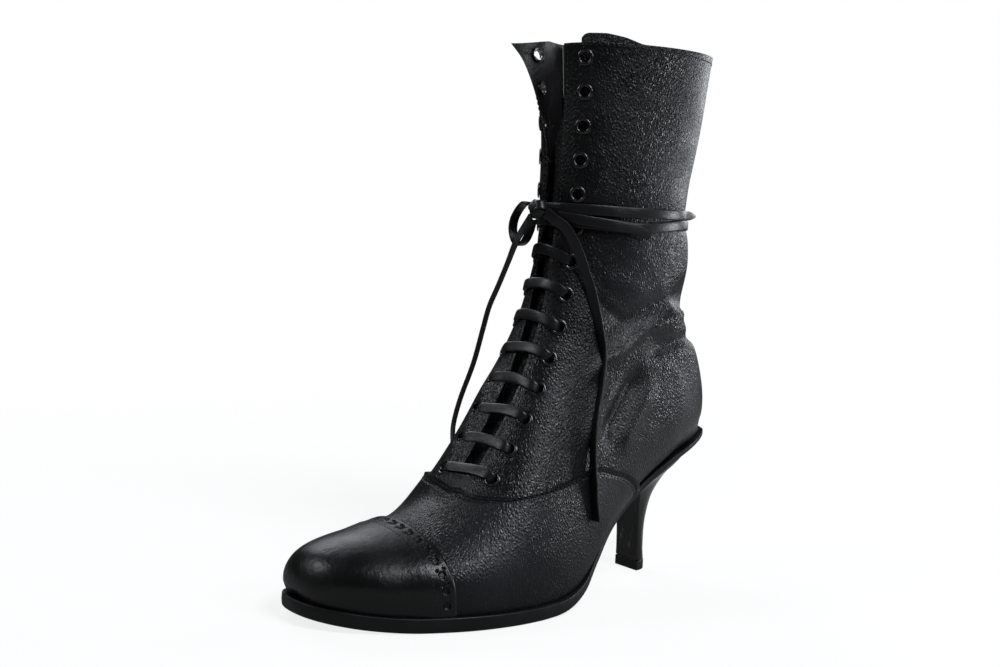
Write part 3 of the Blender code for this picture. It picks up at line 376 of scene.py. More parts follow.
def throat_offset(at):
    return np.interp(at, SKIN_AT, THROAT_MIDDLE)


def reach(at, side):
    """Distance across from the middle of the throat to the sole or the back."""
    return half_length(at, side) * side - throat_offset(at)


def skin(at, across, curl=True):
    """Points of the outer skin, at distances across from the middle of the throat (outer side +)."""
    at, across = np.broadcast_arrays(np.asarray(at, float), np.asarray(across, float))
    row = np.clip(at / SKIN_STEP, 0, len(SKIN_AT) - 1.001)
    i = row.astype(int)
    t = row - i
    signed = across + throat_offset(at)
    half = (signed < 0).astype(int)
    length = SKIN_LENGTHS[half, i] * (1 - t) + SKIN_LENGTHS[half, i + 1] * t
    place = np.clip(np.abs(signed) / length, 0, 1) * (SKIN_SHARES - 1.001)
    j = place.astype(int)
    t, v = t[..., None], (place - j)[..., None]
    near = SKIN_POINTS[half, i, j] * (1 - v) + SKIN_POINTS[half, i, j + 1] * v
    far = SKIN_POINTS[half, i + 1, j] * (1 - v) + SKIN_POINTS[half, i + 1, j + 1] * v
    points = near * (1 - t) + far * t
    if curl:
        rise = np.maximum((at - CURL_FROM) / (COLLAR - CURL_FROM), 0.0) ** CURL_RISE
        fold = np.maximum(1 + across / CURL_REACH, 0.0) ** CURL_FOLD
        share = np.minimum(np.abs(across) / np.abs(reach(at, -1)), 1.0)
        top = rising(at, INNER_RISE_FROM, COLLAR - INNER_RISE_FROM)
        top = top * ease(share / INNER_RISE_ENDS[0]) * falling(share, 1, INNER_RISE_ENDS[1])
        inner = (across < 0).astype(float)[..., None]
        points = points + inner * (CURL_MOVE * (rise * fold)[..., None] + INNER_RISE * top[..., None])
    return points


def skin_normal(at, across, curl=True):
    step, wide = 0.05, 0.8
    at = np.asarray(at, float)
    ahead, behind = np.minimum(at + step, COLLAR), np.maximum(at - step, 0)
    along = skin(ahead, across, curl) - skin(behind, across, curl)
    around = skin(at, across + wide, curl) - skin(at, across - wide, curl)
    return unit(np.cross(around, along))


def lifted(at, across, lift, curl=True):
    across = np.asarray(across, float)
    lift = np.asarray(lift, float)[..., None]
    return skin(at, across, curl) + lift * skin_normal(at, across, curl)


def throat_half(at):
    return np.minimum(THROAT_HALF, THROAT_SHARE * half_length(at, 1))


def zip_across(at, offset):
    """Place across the inner side, at an offset from the middle of the zip (+ toward the throat)."""
    line_at = max(at, ZIP_LOW)
    points = half_section(line_at, -1)
    line = np.interp(points[:, 2], [ZIP_FOOT[1], ZIP_HEAD[1]], [ZIP_FOOT[0], ZIP_HEAD[0]])
    run = arc(points)
    share = np.interp(0.0, points[:, 0] - line, run) / (run[-1] - throat_half(line_at))
    far = reach(at, -1)
    return far + (-throat_half(at) - far) * share + offset


def eyelet_places(side):
    """Section numbers of the eyelets on one side, spaced evenly along the facing from the top."""
    steps = np.linspace(THROAT_AT - 0.2, COLLAR, 300)
    line = skin(steps, side * EYELET_LINE)
    run = arc(line)
    low = np.interp(EYELET_LOW_Z, line[:, 2], run)
    top = np.interp(EYELET_TOP_Z[side], line[:, 2], run)
    return np.interp(np.linspace(top, low, EYELET_COUNT), run, steps)


PLACES = {side: eyelet_places(side) for side in (1, -1)}


def at_level(across, height):
    """Sections where the skin reaches given heights, at given places across the ankle."""
    across, height = np.broadcast_arrays(np.asarray(across, float), np.asarray(height, float))
    low = np.full(across.shape, SEAT_BACK - 2.0)
    high = np.full(across.shape, float(COLLAR))
    halvings = 30
    for _ in range(halvings):
        middle = 0.5 * (low + high)
        under = skin(middle, across)[..., 2] < height
        low, high = np.where(under, middle, low), np.where(under, high, middle)
    return low


def painted_sheen_share(points):
    """How much painted sheen lightens the leather's colour at each point."""
    spots = np.stack([points[..., 0], np.abs(points[..., 1]), points[..., 2]], axis=-1)
    return sum(painted_sheen.strength * np.exp(-np.sum(((spots - painted_sheen.middle) / painted_sheen.size) ** 2, axis=-1))
               for painted_sheen in PAINTED_SHEENS)


def fold_height(points):
    """Rise or fall of the leather at each point, from all folds and rolls."""
    total = np.zeros(points.shape[:-1])
    for fold in FOLDS:
        line = smooth_route(fold.points, FOLD_STEPS)
        share = np.linspace(0, 1, FOLD_STEPS)
        fade = ease(share / FOLD_FADE) * falling(share, 1, FOLD_FADE)
        gaps = np.linalg.norm(points[..., None, :] - line, axis=-1)
        total += fold.height * np.max(fade * np.exp(-(gaps / fold.width) ** 2), axis=-1)
    back = falling(points[..., 0], ROLL_END, ROLL_FADE)
    for roll in ROLLS:
        share = 1 - roll.back * (1 - back)
        total += roll.height * share * np.exp(-((points[..., 2] - roll.level) / roll.width) ** 2)
    return total


# Mesh makers

def sheet(points, keep=None, marks=None):
    """Sheet through a grid of points; keep says which cells stay, marks are their named values."""
    rows, columns = points.shape[:2]
    bm = bmesh.new()
    layers = {name: bm.verts.layers.float.new(name) for name in marks or {}}
    bmesh.ops.create_grid(bm, x_segments=columns - 1, y_segments=rows - 1, size=0.5)
    spots = {}
    for vert in bm.verts:
        spots[vert] = (round((vert.co.y + 0.5) * (rows - 1)), round((vert.co.x + 0.5) * (columns - 1)))
    for vert, (i, j) in spots.items():
        vert.co = points[i, j]
        for name, layer in layers.items():
            vert[layer] = float(marks[name][i, j])
    if keep is not None:
        gone = []
        for face in bm.faces:
            corner = [spots[vert] for vert in face.verts]
            if not keep[min(i for i, _ in corner), min(j for _, j in corner)]:
                gone.append(face)
        bmesh.ops.delete(bm, geom=gone, context="FACES")
    return bm


def joined(parts):
    """One bmesh from several, which are used up."""
    whole = bmesh.new()
    mesh = bpy.data.meshes.new("part")
    for part in parts:
        part.to_mesh(mesh)
        part.free()
        whole.from_mesh(mesh)
    bpy.data.meshes.remove(mesh)
    return whole


def repeated(template, places):
    """One bmesh with a copy of the template at each place."""
    copies = []
    for place in places:
        copy = template.copy()
        copy.transform(place)
        copies.append(copy)
    template.free()
    return joined(copies)


MEETING = 0.002


def merged(bm, gap=MEETING):
    """Join points that meet."""
    bmesh.ops.remove_doubles(bm, verts=bm.verts, dist=gap)
    return bm


def closed(bm):
    """Join the seam of a swept grid, fill its ends and turn its faces outward."""
    merged(bm)
    bmesh.ops.holes_fill(bm, edges=[edge for edge in bm.edges if edge.is_boundary])
    bmesh.ops.recalc_face_normals(bm, faces=bm.faces)
    return bm


def stand(point, normal, along):
    """Place of a small part: x along a line, z out from the surface."""
    out = Vector(normal).normalized()
    run = Vector(along)
    run = (run - out * run.dot(out)).normalized()
    place = Matrix((run, out.cross(run), out)).transposed().to_4x4()
    place.translation = Vector(point)
    return place


TO_ROW = Matrix.Translation(Vector(-CENTRE * MM)) @ Matrix.Scale(MM, 4)


def add_object(name, data):
    thing = bpy.data.objects.new(name, data)
    bpy.context.scene.collection.objects.link(thing)
    return thing


def add_piece(name, bm, finishes, replaces=(), sharp=40.0):
    """Piece of the boot from a bmesh in millimetres; sharp is the least angle of a hard edge."""
    bm.transform(TO_ROW)
    mesh = bpy.data.meshes.new(name)
    bm.to_mesh(mesh)
    bm.free()
    piece = add_object(name, mesh)
    for finish in finishes:
        mesh.materials.append(FINISH[finish])
    mesh.shade_smooth()
    mesh.set_sharp_from_angle(angle=math.radians(sharp))
    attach(piece, "boot")
    if replaces:
        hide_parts(*replaces)
    return piece


def round_edges(piece, width, segments=2):
    rounding = piece.modifiers.new("Edge", "BEVEL")
    rounding.width, rounding.segments = width * MM, segments
    rounding.limit_method, rounding.angle_limit = "ANGLE", math.radians(50)


def give_thickness(piece, thickness, lining=0, edge=0.0):
    """Give a sheet its thickness inward; lining is the step to the material of its inner face."""
    wall = piece.modifiers.new("Thickness", "SOLIDIFY")
    wall.thickness, wall.offset = thickness * MM, -1.0
    wall.use_even_offset, wall.thickness_clamp = True, 1.0
    wall.material_offset = lining
    if edge:
        round_edges(piece, edge)


def ribbon(path, faces, wide):
    """Flat lace swept along a path, lying with its flat side along the face normals."""
    path = np.asarray(path, float)
    along = unit(np.gradient(path, axis=0))
    faces = unit(faces - along * np.sum(faces * along, axis=-1, keepdims=True))
    sides = np.cross(along, faces)
    turn = np.linspace(0, 2 * math.pi, LACE_COLUMNS + 1)
    a, b = (np.sign(part) * np.abs(part) ** LACE_CORNER for part in (np.cos(turn), np.sin(turn)))
    wide = np.broadcast_to(np.asarray(wide, float), len(path))
    grid = (path[:, None] + sides[:, None] * (0.5 * wide[:, None] * a)[..., None]
            + faces[:, None] * (0.5 * LACE_THICK * b)[None, :, None])
    run = np.repeat(arc(path)[:, None], len(turn), axis=1)
    return closed(sheet(grid, marks={"along": run, "across": np.repeat(a[None], len(path), axis=0)}))


# Materials

def feed(tree, socket, value):
    """Link a socket to another one, or set its constant."""
    if hasattr(value, "is_output"):
        tree.links.new(value, socket)
    elif socket.type == "RGBA":
        socket.default_value = (*value, 1.0)
    else:
        socket.default_value = value


def new_node(tree, kind, inputs=None, **settings):
    node = tree.nodes.new(kind)
    for name, value in settings.items():
        setattr(node, name, value)
    for name, value in (inputs or {}).items():
        feed(tree, node.inputs[name], value)
    return node


def maths(tree, operation, *values):
    return new_node(tree, "ShaderNodeMath", dict(enumerate(values)), operation=operation).outputs[0]


def vector_maths(tree, operation, inputs, result="Vector"):
    return new_node(tree, "ShaderNodeVectorMath", inputs, operation=operation).outputs[result]


def ramp(tree, value, low, high, to_low=0.0, to_high=1.0):
    ends = {"Value": value, "From Min": low, "From Max": high, "To Min": to_low, "To Max": to_high}
    return new_node(tree, "ShaderNodeMapRange", ends, interpolation_type="SMOOTHSTEP").outputs["Result"]


def mixed(tree, share, first, second):
    node = new_node(tree, "ShaderNodeMix", {"Factor": share}, data_type="RGBA")
    colours = [socket for socket in node.inputs if socket.type == "RGBA"]
    for socket, value in zip(colours, (first, second)):
        feed(tree, socket, value)
    return next(socket for socket in node.outputs if socket.type == "RGBA")


def marked(tree, name):
    """Values that a mesh carries under a name."""
    return new_node(tree, "ShaderNodeAttribute", attribute_name=name).outputs["Fac"]


def noise(tree, place, scale, detail=3.0, stretch=None, turn=(0.0, 0.0, 0.0), result="Fac"):
    if stretch:
        place = new_node(tree, "ShaderNodeMapping",
                         {"Vector": place, "Scale": stretch, "Rotation": turn}).outputs[0]
    return new_node(tree, "ShaderNodeTexNoise",
                    {"Vector": place, "Scale": scale, "Detail": detail}).outputs[result]


def cells(tree, place, feature, result):
    return new_node(tree, "ShaderNodeTexVoronoi", {"Vector": place, "Scale": 1.0},
                    feature=feature).outputs[result]


def bump(tree, shader, height, distance, strength=1.0, normal=None):
    inputs = {"Height": height, "Distance": distance, "Strength": strength}
    if normal is not None:
        inputs["Normal"] = normal
    result = new_node(tree, "ShaderNodeBump", inputs).outputs["Normal"]
    feed(tree, shader.inputs["Normal"], result)
    return result


def paint(tree, shader, colour, roughness):
    feed(tree, shader.inputs["Base Color"], colour)
    feed(tree, shader.inputs["Roughness"], roughness)


FINISH = {}


def new_material(name, metallic=0.0, coat=0.0, coat_roughness=0.1):
    """Start a finish; its name is kept for the pieces."""
    material = FINISH[name] = bpy.data.materials.new(name)
    material.use_nodes = True
    tree = material.node_tree
    shader = tree.nodes["Principled BSDF"]
    looks = {"Metallic": metallic, "Coat Weight": coat, "Coat Roughness": coat_roughness}
    for socket, value in looks.items():
        feed(tree, shader.inputs[socket], value)
    return tree, shader, new_node(tree, "ShaderNodeTexCoord").outputs["Object"]


def grain_group():
    """Pebbles of tumbled leather: their height, the valleys between them, and a slow unevenness."""
    tree = bpy.data.node_groups.new("Leather grain", "ShaderNodeTree")
    for label, way, kind in (("Vector", "INPUT", "Vector"), ("Pebble", "INPUT", "Float"),
                             ("Height", "OUTPUT", "Float"), ("Valley", "OUTPUT", "Float"),
                             ("Cloud", "OUTPUT", "Float")):
        tree.interface.new_socket(label, in_out=way, socket_type="NodeSocket" + kind)
    given = tree.nodes.new("NodeGroupInput").outputs
    result = tree.nodes.new("NodeGroupOutput").inputs
    drawn = new_node(tree, "ShaderNodeMapping", {"Vector": given["Vector"], "Rotation": (0.0, 0.6, 0.0),
                                                 "Scale": (1.1, 1.1, 0.72)}).outputs[0]
    scale = maths(tree, "DIVIDE", 1.0, given["Pebble"])
    place = vector_maths(tree, "SCALE", {0: drawn, "Scale": scale})
    warp = noise(tree, place, 0.55, 2.0, result="Color")
    shift = vector_maths(tree, "SCALE", {0: warp, "Scale": 0.9})
    bent = vector_maths(tree, "ADD", {0: place, 1: shift})
    edges = cells(tree, bent, "DISTANCE_TO_EDGE", "Distance")
    dome = ramp(tree, edges, 0.0, 0.45)
    lift = cells(tree, bent, "F1", "Color")
    feed(tree, result["Height"], maths(tree, "MULTIPLY_ADD", lift, 0.45, dome))
    feed(tree, result["Valley"], maths(tree, "SUBTRACT", 1.0, ramp(tree, edges, 0.0, 0.14)))
    feed(tree, result["Cloud"], noise(tree, given["Vector"], 50.0))
    return tree


GRAIN = grain_group()
CALMED = 0.75
FLOOR_WHITE = 0.83
FLOOR_SHEEN = (0.04, 0.45)
# Colour that the painted sheen patches lighten the leather toward
PAINTED_SHEEN_COLOUR = (0.035, 0.0365, 0.044)
SCUFF_COLOUR = (0.3, 0.29, 0.27)
# Painted shade: near-black colour for the depths of the punched holes
PUNCH_SHADE_COLOUR = (0.002, 0.002, 0.002)
CUT_COLOUR = (0.02, 0.02, 0.022)


def leather(name, dark, light, pebble, depth, rough):
    """Grained leather; dark and light are its colours, rough the roughness of pebbles and valleys."""
    tree, shader, place = new_material(name)
    grain = new_node(tree, "ShaderNodeGroup", node_tree=GRAIN)
    feed(tree, grain.inputs["Vector"], place)
    feed(tree, grain.inputs["Pebble"], pebble)
    height, valley, cloud = grain.outputs
    fresh = mixed(tree, ramp(tree, cloud, 0.35, 0.65), dark, light)
    uneven = ramp(tree, cloud, 0.3, 0.7, rough[0] - 0.05, rough[0] + 0.07)
    # Painted sheen: this mark lightens the colour toward a paler grey where reflections brighten the
    # leather
    paint(tree, shader, mixed(tree, marked(tree, "painted_sheen"), fresh, PAINTED_SHEEN_COLOUR),
          maths(tree, "MULTIPLY_ADD", valley, rough[1] - rough[0], uneven))
    kept = maths(tree, "MULTIPLY_ADD", marked(tree, "calm"), -CALMED, 1.0)
    pebbles = maths(tree, "MULTIPLY", height, kept)
    fine = maths(tree, "MULTIPLY_ADD", noise(tree, place, 2600.0, 2.0), 0.12, pebbles)
    broad = bump(tree, shader, noise(tree, place, 90.0, 1.0), 2.5 * depth, 0.6)
    bump(tree, shader, fine, depth, normal=broad)


def cap_leather():
    """Smooth, waxed leather of the toe cap, drawn into fine lines where it was pulled over the last."""
    tree, shader, place = new_material("toe_cap_leather", coat=0.15, coat_roughness=0.3)
    cloud = noise(tree, place, 60.0)
    tone = mixed(tree, ramp(tree, cloud, 0.35, 0.65), (0.0045, 0.0045, 0.005), (0.007, 0.007, 0.008))
    # Painted shade: the holes' dents are darkened as shade in their depths
    paint(tree, shader, mixed(tree, marked(tree, "punch_hole_shade"), tone, PUNCH_SHADE_COLOUR),
          ramp(tree, cloud, 0.3, 0.7, 0.30, 0.46))
    drawn = noise(tree, place, 900.0, 4.0, stretch=(1.0, 0.6, 0.12))
    waved = bump(tree, shader, noise(tree, place, 420.0, 5.0), 0.00045, 0.5)
    lined = bump(tree, shader, drawn, 0.00016, 0.6, normal=waved)
    bump(tree, shader, noise(tree, place, 2200.0, 2.0), 0.00008, 0.35, normal=lined)


def scuff(tree, place, level):
    """Thin scraped lines round a level."""
    height = new_node(tree, "ShaderNodeSeparateXYZ", {0: place}).outputs["Z"]
    off_level = maths(tree, "ABSOLUTE", maths(tree, "SUBTRACT", height, level))
    lines = noise(tree, place, 240.0, 1.0, stretch=(1.0, 1.0, 0.3), turn=(0.0, 0.9, 0.0))
    off_line = maths(tree, "ABSOLUTE", maths(tree, "SUBTRACT", lines, 0.56))
    return maths(tree, "MULTIPLY", ramp(tree, off_line, 0.004, 0.012, 1.0, 0.0),
                 ramp(tree, off_level, 0.004, 0.007, 0.8, 0.0))


def black_edge(name, tone, rough, coat, lines, scuffed=None):
    """Dyed and burnished edge of the sole, or the painted heel: fine lines and slow unevenness."""
    tree, shader, place = new_material(name, coat=coat, coat_roughness=0.12)
    cloud = noise(tree, place, 90.0)
    lighter = tuple(1.8 * part for part in tone)
    colour = mixed(tree, ramp(tree, cloud, 0.4, 0.7), tone, lighter)
    if scuffed:
        colour = mixed(tree, scuff(tree, place, scuffed), colour, SCUFF_COLOUR)
    paint(tree, shader, colour, ramp(tree, cloud, 0.3, 0.7, rough - 0.06, rough + 0.1))
    bump(tree, shader, noise(tree, place, 500.0, stretch=(0.2, 0.2, 2.4)), 0.00015, lines)


def lace_material():
    """Cut leather lace: a fine lengthwise draw on its face and duller cut edges."""
    tree, shader, place = new_material("lace_leather", coat=0.15, coat_roughness=0.3)
    across = marked(tree, "across")
    drawn_out = maths(tree, "MULTIPLY", marked(tree, "along"), 0.15)
    spread = maths(tree, "MULTIPLY", across, 3.0)
    lay = new_node(tree, "ShaderNodeCombineXYZ", {"X": drawn_out, "Y": spread})
    drawn = noise(tree, lay.outputs[0], 1.6, 4.0)
    edge = ramp(tree, maths(tree, "ABSOLUTE", across), 0.86, 0.99)
    face = mixed(tree, drawn, (0.008, 0.008, 0.009), (0.016, 0.016, 0.018))
    paint(tree, shader, mixed(tree, edge, face, CUT_COLOUR), ramp(tree, edge, 0.0, 1.0, 0.34, 0.5))
    lined = bump(tree, shader, drawn, 0.00018, 0.6)
    bump(tree, shader, noise(tree, place, 1500.0, 2.0), 0.0001, 0.4, normal=lined)


def metal(name, tone, rough, metallic=1.0, coat=0.0):
    tree, shader, place = new_material(name, metallic, coat, coat_roughness=0.08)
    marks = noise(tree, place, 700.0, 4.0)
    darker = tuple(0.6 * part for part in tone)
    paint(tree, shader, mixed(tree, ramp(tree, marks, 0.35, 0.6), darker, tone),
          ramp(tree, marks, 0.3, 0.7, rough - 0.06, rough + 0.12))
    bump(tree, shader, noise(tree, place, 1800.0, 2.0), 0.00004, 0.4)


def thread_material():
    tree, shader, place = new_material("thread")
    twist = noise(tree, place, 5000.0, 1.0)
    paint(tree, shader, mixed(tree, twist, (0.004, 0.004, 0.004), (0.012, 0.012, 0.0125)), 0.6)
    bump(tree, shader, twist, 0.0001, 0.6)


def floor_material():
    """Pale floor that fades into the white surroundings away from the boot."""
    material = bpy.data.materials.new("floor")
    material.use_nodes = True
    tree = material.node_tree
    tree.nodes.clear()
    place = new_node(tree, "ShaderNodeTexCoord").outputs["Object"]
    paper = mixed(tree, noise(tree, place, 400.0), (0.29, 0.29, 0.29), (0.31, 0.31, 0.31))
    matt = new_node(tree, "ShaderNodeBsdfDiffuse", {"Color": paper})
    rays = new_node(tree, "ShaderNodeLightPath").outputs
    forward = new_node(tree, "ShaderNodeSeparateXYZ", {0: place}).outputs["X"]
    back = maths(tree, "MULTIPLY", forward, -1.0)
    sheen = maths(tree, "MULTIPLY", rays["Is Glossy Ray"], ramp(tree, back, 0.1, 0.3, *FLOOR_SHEEN))
    white = maths(tree, "MULTIPLY_ADD", rays["Is Camera Ray"], FLOOR_WHITE, sheen)
    glow = new_node(tree, "ShaderNodeEmission", {"Strength": white})
    lit = new_node(tree, "ShaderNodeAddShader", {0: matt.outputs[0], 1: glow.outputs[0]})
    clear = new_node(tree, "ShaderNodeBsdfTransparent")
    away = vector_maths(tree, "LENGTH", {0: place}, "Value")
    blend = new_node(tree, "ShaderNodeMixShader",
                     {"Fac": ramp(tree, away, 0.25, 0.75), 1: lit.outputs[0], 2: clear.outputs[0]})
    new_node(tree, "ShaderNodeOutputMaterial", {"Surface": blend.outputs[0]})
    return material


leather("grain_leather", (0.003, 0.0031, 0.0036), (0.0048, 0.005, 0.0058), 0.0014, 0.00017,
        (0.32, 0.45))
leather("lining", (0.005, 0.005, 0.006), (0.008, 0.008, 0.0095), 0.0007, 0.0001, (0.38, 0.5))
leather("tongue_leather", (0.005, 0.005, 0.0055), (0.008, 0.008, 0.009), 0.001, 0.0003, (0.4, 0.6))
leather("insole", (0.02, 0.019, 0.018), (0.035, 0.033, 0.031), 0.0009, 0.0001, (0.5, 0.6))
cap_leather()
black_edge("sole_edge", (0.005, 0.005, 0.0055), 0.42, 0.0, 0.5)
black_edge("heel_black", (0.002, 0.002, 0.0022), 0.2, 0.5, 0.12, scuffed=0.016)
black_edge("tape", (0.006, 0.006, 0.0065), 0.75, 0.0, 0.6)
lace_material()
metal("enamel", (0.11, 0.11, 0.115), 0.22, metallic=0.9, coat=0.5)
metal("nickel", (0.55, 0.54, 0.52), 0.28)
metal("brass", (0.62, 0.42, 0.16), 0.3)
metal("steel", (0.42, 0.42, 0.43), 0.28)
thread_material()


# Sole and heel

def make_outsole():
    """Sole from its outline: a rounded edge all round, with strips across its top and bottom."""
    steps, strips = 150, 8
    rim, low, top, bulge = 3.2, 1.7, 0.5, 0.15
    thin_from, thin_over, thinnest = 3.5, 3.0, 0.25
    outline = sole_outline(steps)
    along = np.gradient(outline, axis=0)
    along[0] = along[-1] = outline[1] - outline[-2]
    inward = unit(np.stack([-along[:, 1], along[:, 0]], axis=-1))
    turn = np.radians(np.linspace(0, 90, 5))
    rows = [(rim, 0.0, 0.0)] + [(low * (1 - np.sin(a)), 0.0, low * (1 - np.cos(a))) for a in turn]
    rows += [(-bulge, 0.5, 0.0)]
    rows += [(top * (1 - np.cos(a)), 1.0, -top * (1 - np.sin(a))) for a in turn] + [(rim, 1.0, 0.0)]
    thick = np.interp(outline[:, 0], PROFILE[:, 0], PROFILE[:, 2])
    thin = np.clip((thick - thin_from) / thin_over, thinnest, 1.0)
    low_z, high_z = sole_bottom(outline[:, 0]), sole_top(outline[:, 0])
    grid = []
    for inset, share, rise in rows:
        if inset == rim:
            edge = outline + inward * rim
            height = (sole_top if share else sole_bottom)(edge[:, 0])
        else:
            edge = outline + inward * (inset * thin[:, None])
            height = low_z + share * (high_z - low_z) + rise * thin
        grid.append(np.column_stack([edge, height]))
    grid = np.array(grid)
    grid[:, -1] = grid[:, 0]
    parts = [sheet(grid)]
    for ring, surface in ((grid[0], sole_bottom), (grid[-1], sole_top)):
        lateral, medial = ring[:steps + 1], ring[:steps - 1:-1]
        share = np.linspace(0, 1, strips + 1)[None, :, None]
        across = lateral[:, None] * (1 - share) + medial[:, None] * share
        across[:, 1:-1, 2] = surface(across[:, 1:-1, 0])
        parts.append(sheet(across))
    join = 0.01
    bm = merged(joined(parts), join)
    bmesh.ops.dissolve_degenerate(bm, edges=bm.edges, dist=join)
    bmesh.ops.recalc_face_normals(bm, faces=bm.faces)
    add_piece("sole", bm, ["sole_edge"], ["outsole"], sharp=50)


def heel_ring(back_x, front_x, half, height):
    """D-shaped ring: rounded at the back and flat at the breast; height(x) gives its z."""
    turn = np.linspace(-math.pi / 2, math.pi / 2, 41)
    x = front_x - (front_x - back_x) * np.maximum(np.cos(turn), 0.0) ** HEEL_ROUND
    y = half * np.sin(turn)
    breast = np.linspace(half, -half, 10)[1:]
    x = np.concatenate([x, np.full(len(breast), front_x)])
    y = np.concatenate([y, breast])
    return np.stack([x, y, height(x)], axis=-1)


def make_heel():
    last = len(HEEL) - 1
    grid = []
    for at in np.concatenate([np.linspace(0, last - 1, 40), np.linspace(last - 1, last, 9)[1:]]):
        back_x, back_z, front_x, front_z, half = smooth(HEEL, at)

        def height(x):
            slope = back_z + (x - back_x) / (front_x - back_x) * (front_z - back_z)
            seat = ease(at - (last - 1))
            return slope * (1 - seat) + (sole_bottom(x) - HEEL_GAP) * seat
        grid.append(heel_ring(back_x, front_x, half, height))
    bm = closed(sheet(np.array(grid)))
    heel = add_piece("heel_block", bm, ["heel_black"], ["heel"], sharp=50)
    round_edges(heel, HEEL_EDGE, segments=3)


def make_heel_tip():
    first = HEEL[0]
    back_x, front_x, half = first.back_x - 0.3, first.front_x + 0.2, first.half + 0.2
    grid = [heel_ring(back_x, front_x, half, lambda x, z=z: 0 * x + z)
            for z in (0.0, 1.5, 3.5, TIP_HEIGHT)]
    bm = closed(sheet(np.array(grid)))
    tip = add_piece("top_lift", bm, ["sole_edge"], ["heel_tip"], sharp=50)
    round_edges(tip, HEEL_EDGE, segments=3)


# Upper and what is sewn on it

def rounded_counter(points):
    """The same grid with the heel counter rubbed smooth; its outer lines stay."""
    share = falling(points[..., 0], 48.0, 12.0) * falling(points[..., 2], 112.0, 14.0)
    share[:, :2] = share[:, -2:] = share[0] = share[-1] = 0.0
    share = 0.5 * share[1:-1, 1:-1, None]
    rounds = 60
    for _ in range(rounds):
        around = 0.25 * (points[:-2, 1:-1] + points[2:, 1:-1] + points[1:-1, :-2] + points[1:-1, 2:])
        points = points.copy()
        points[1:-1, 1:-1] += share * (around - points[1:-1, 1:-1])
    return points


def calmness(points, across):
    """Where the grain is rubbed smooth: main fold, outer facing, heel counter and lower quarters."""
    ridge = smooth_route(FOLDS[0].points, 30)
    gap = np.min(np.linalg.norm(points[..., None, :] - ridge, axis=-1), axis=-1)
    fold = 0.4 * np.exp(-(gap / 5.0) ** 2)
    facing = 0.6 * falling(np.abs(across), 14.0, 6.0) * (across > 0)
    counter = 0.6 * (falling(points[..., 0], 62.0, 24.0) * falling(points[..., 2], 116.0, 14.0))
    low = 0.35 * falling(points[..., 2], 160.0, 30.0)
    return np.maximum.reduce([fold, facing, counter, low])


def make_upper():
    """Quarters and shaft in one sheet, open at the throat, the zip and the eyelets."""
    toe, toe_end, touch, crowding = 0.5, 6.6, 1e-6, 1.15
    back, teeth, facing, throat, lateral = 30, 2, 40, 6, 78
    rows = np.concatenate([np.arange(toe, toe_end, 0.25), np.linspace(toe_end, THROAT_AT, 8)[:-1],
                           np.linspace(THROAT_AT, ZIP_LOW, 68)[:-1], np.linspace(ZIP_LOW, COLLAR, 112)])
    columns = []
    for at in rows:
        half = throat_half(at)
        zip_half = min(ZIP_HALF, ZIP_SHARE * half_length(at, -1))
        rear, front = zip_across(at, -zip_half), zip_across(at, zip_half)
        away = half + (reach(at, 1) - half) * np.linspace(0, 1, lateral + 1)[1:] ** crowding
        columns.append(np.concatenate([
            np.linspace(reach(at, -1), rear, back + 1), np.linspace(rear, front, teeth + 1)[1:],
            np.linspace(front, -half, facing + 1)[1:], np.linspace(-half, half, throat + 1)[1:], away]))
    at, across = rows[:, None], np.array(columns)
    points = skin(at, across)
    calm = calmness(points, across)
    points = rounded_counter(points + skin_normal(at, across) * fold_height(points)[..., None])
    keep = np.ones((len(rows) - 1, across.shape[1] - 1), bool)
    keep[rows[:-1] >= ZIP_LOW - touch, back:back + teeth] = False
    first = back + teeth + facing
    keep[rows[:-1] >= THROAT_AT - touch, first:first + throat] = False
    middle = 0.25 * (points[:-1, :-1] + points[1:, :-1] + points[:-1, 1:] + points[1:, 1:])
    centres = [skin(place, side * EYELET_LINE) for side in (1, -1) for place in PLACES[side]]
    for centre in centres:
        keep &= np.linalg.norm(middle - centre, axis=-1) > EYELET_CUT
    # The second mark is painted sheen: lighter patches where reflections brighten the leather
    bm = merged(sheet(points, keep, {"calm": calm, "painted_sheen": painted_sheen_share(points)}))
    rim = {vert for edge in bm.edges if edge.is_boundary for vert in edge.verts}
    for vert in rim:
        for centre in centres:
            away = np.array(vert.co) - centre
            gap = np.linalg.norm(away)
            if gap < EYELET_CUT + EYELET_DRAW:
                vert.co = centre + away * (EYELET_CUT / gap)
    upper = add_piece("quarters_and_shaft", bm, ["grain_leather", "lining"], ["upper"],
                      sharp=60)
    give_thickness(upper, WALL, lining=1, edge=0.5)


VAMP_FROM = CAP_AT - 0.12
VAMP_LIFT, VAMP_THICK, OVERLAY_EDGE = 1.5, 0.9, 0.3


@lru_cache(maxsize=None)
def vamp_edge(side):
    """The vamp's upper edge as shares along it, with section and share of the reach."""
    rows = [(row.section, max(0.0, 1 - row.rise / abs(reach(row.section, side)))) for row in VAMP_EDGE]
    line = smooth_route(rows, 240)
    line[:, 1] = np.clip(line[:, 1], 0, 1)
    run = arc(skin(line[:, 0], line[:, 1] * reach(line[:, 0], side)))
    return run / run[-1], line


def vamp_place(share, depth):
    """Section and place across: share from the middle (0) to the sole (outer 1, inner -1), depth
    from the toe cap (0) to the vamp's upper edge (1)."""
    share, depth = np.broadcast_arrays(np.asarray(share, float), np.asarray(depth, float))
    size = np.abs(share)
    at = np.empty(share.shape)
    across = np.empty(share.shape)
    for side in (1, -1):
        here = share >= 0 if side > 0 else share < 0
        run, line = vamp_edge(side)
        end_at = np.interp(size, run, line[:, 0])
        end_share = np.interp(size, run, line[:, 1])
        place = VAMP_FROM + depth * (end_at - VAMP_FROM)
        part = (1 - depth) * size + depth * end_share
        at = np.where(here, place, at)
        across = np.where(here, part * reach(place, side), across)
    return at, across


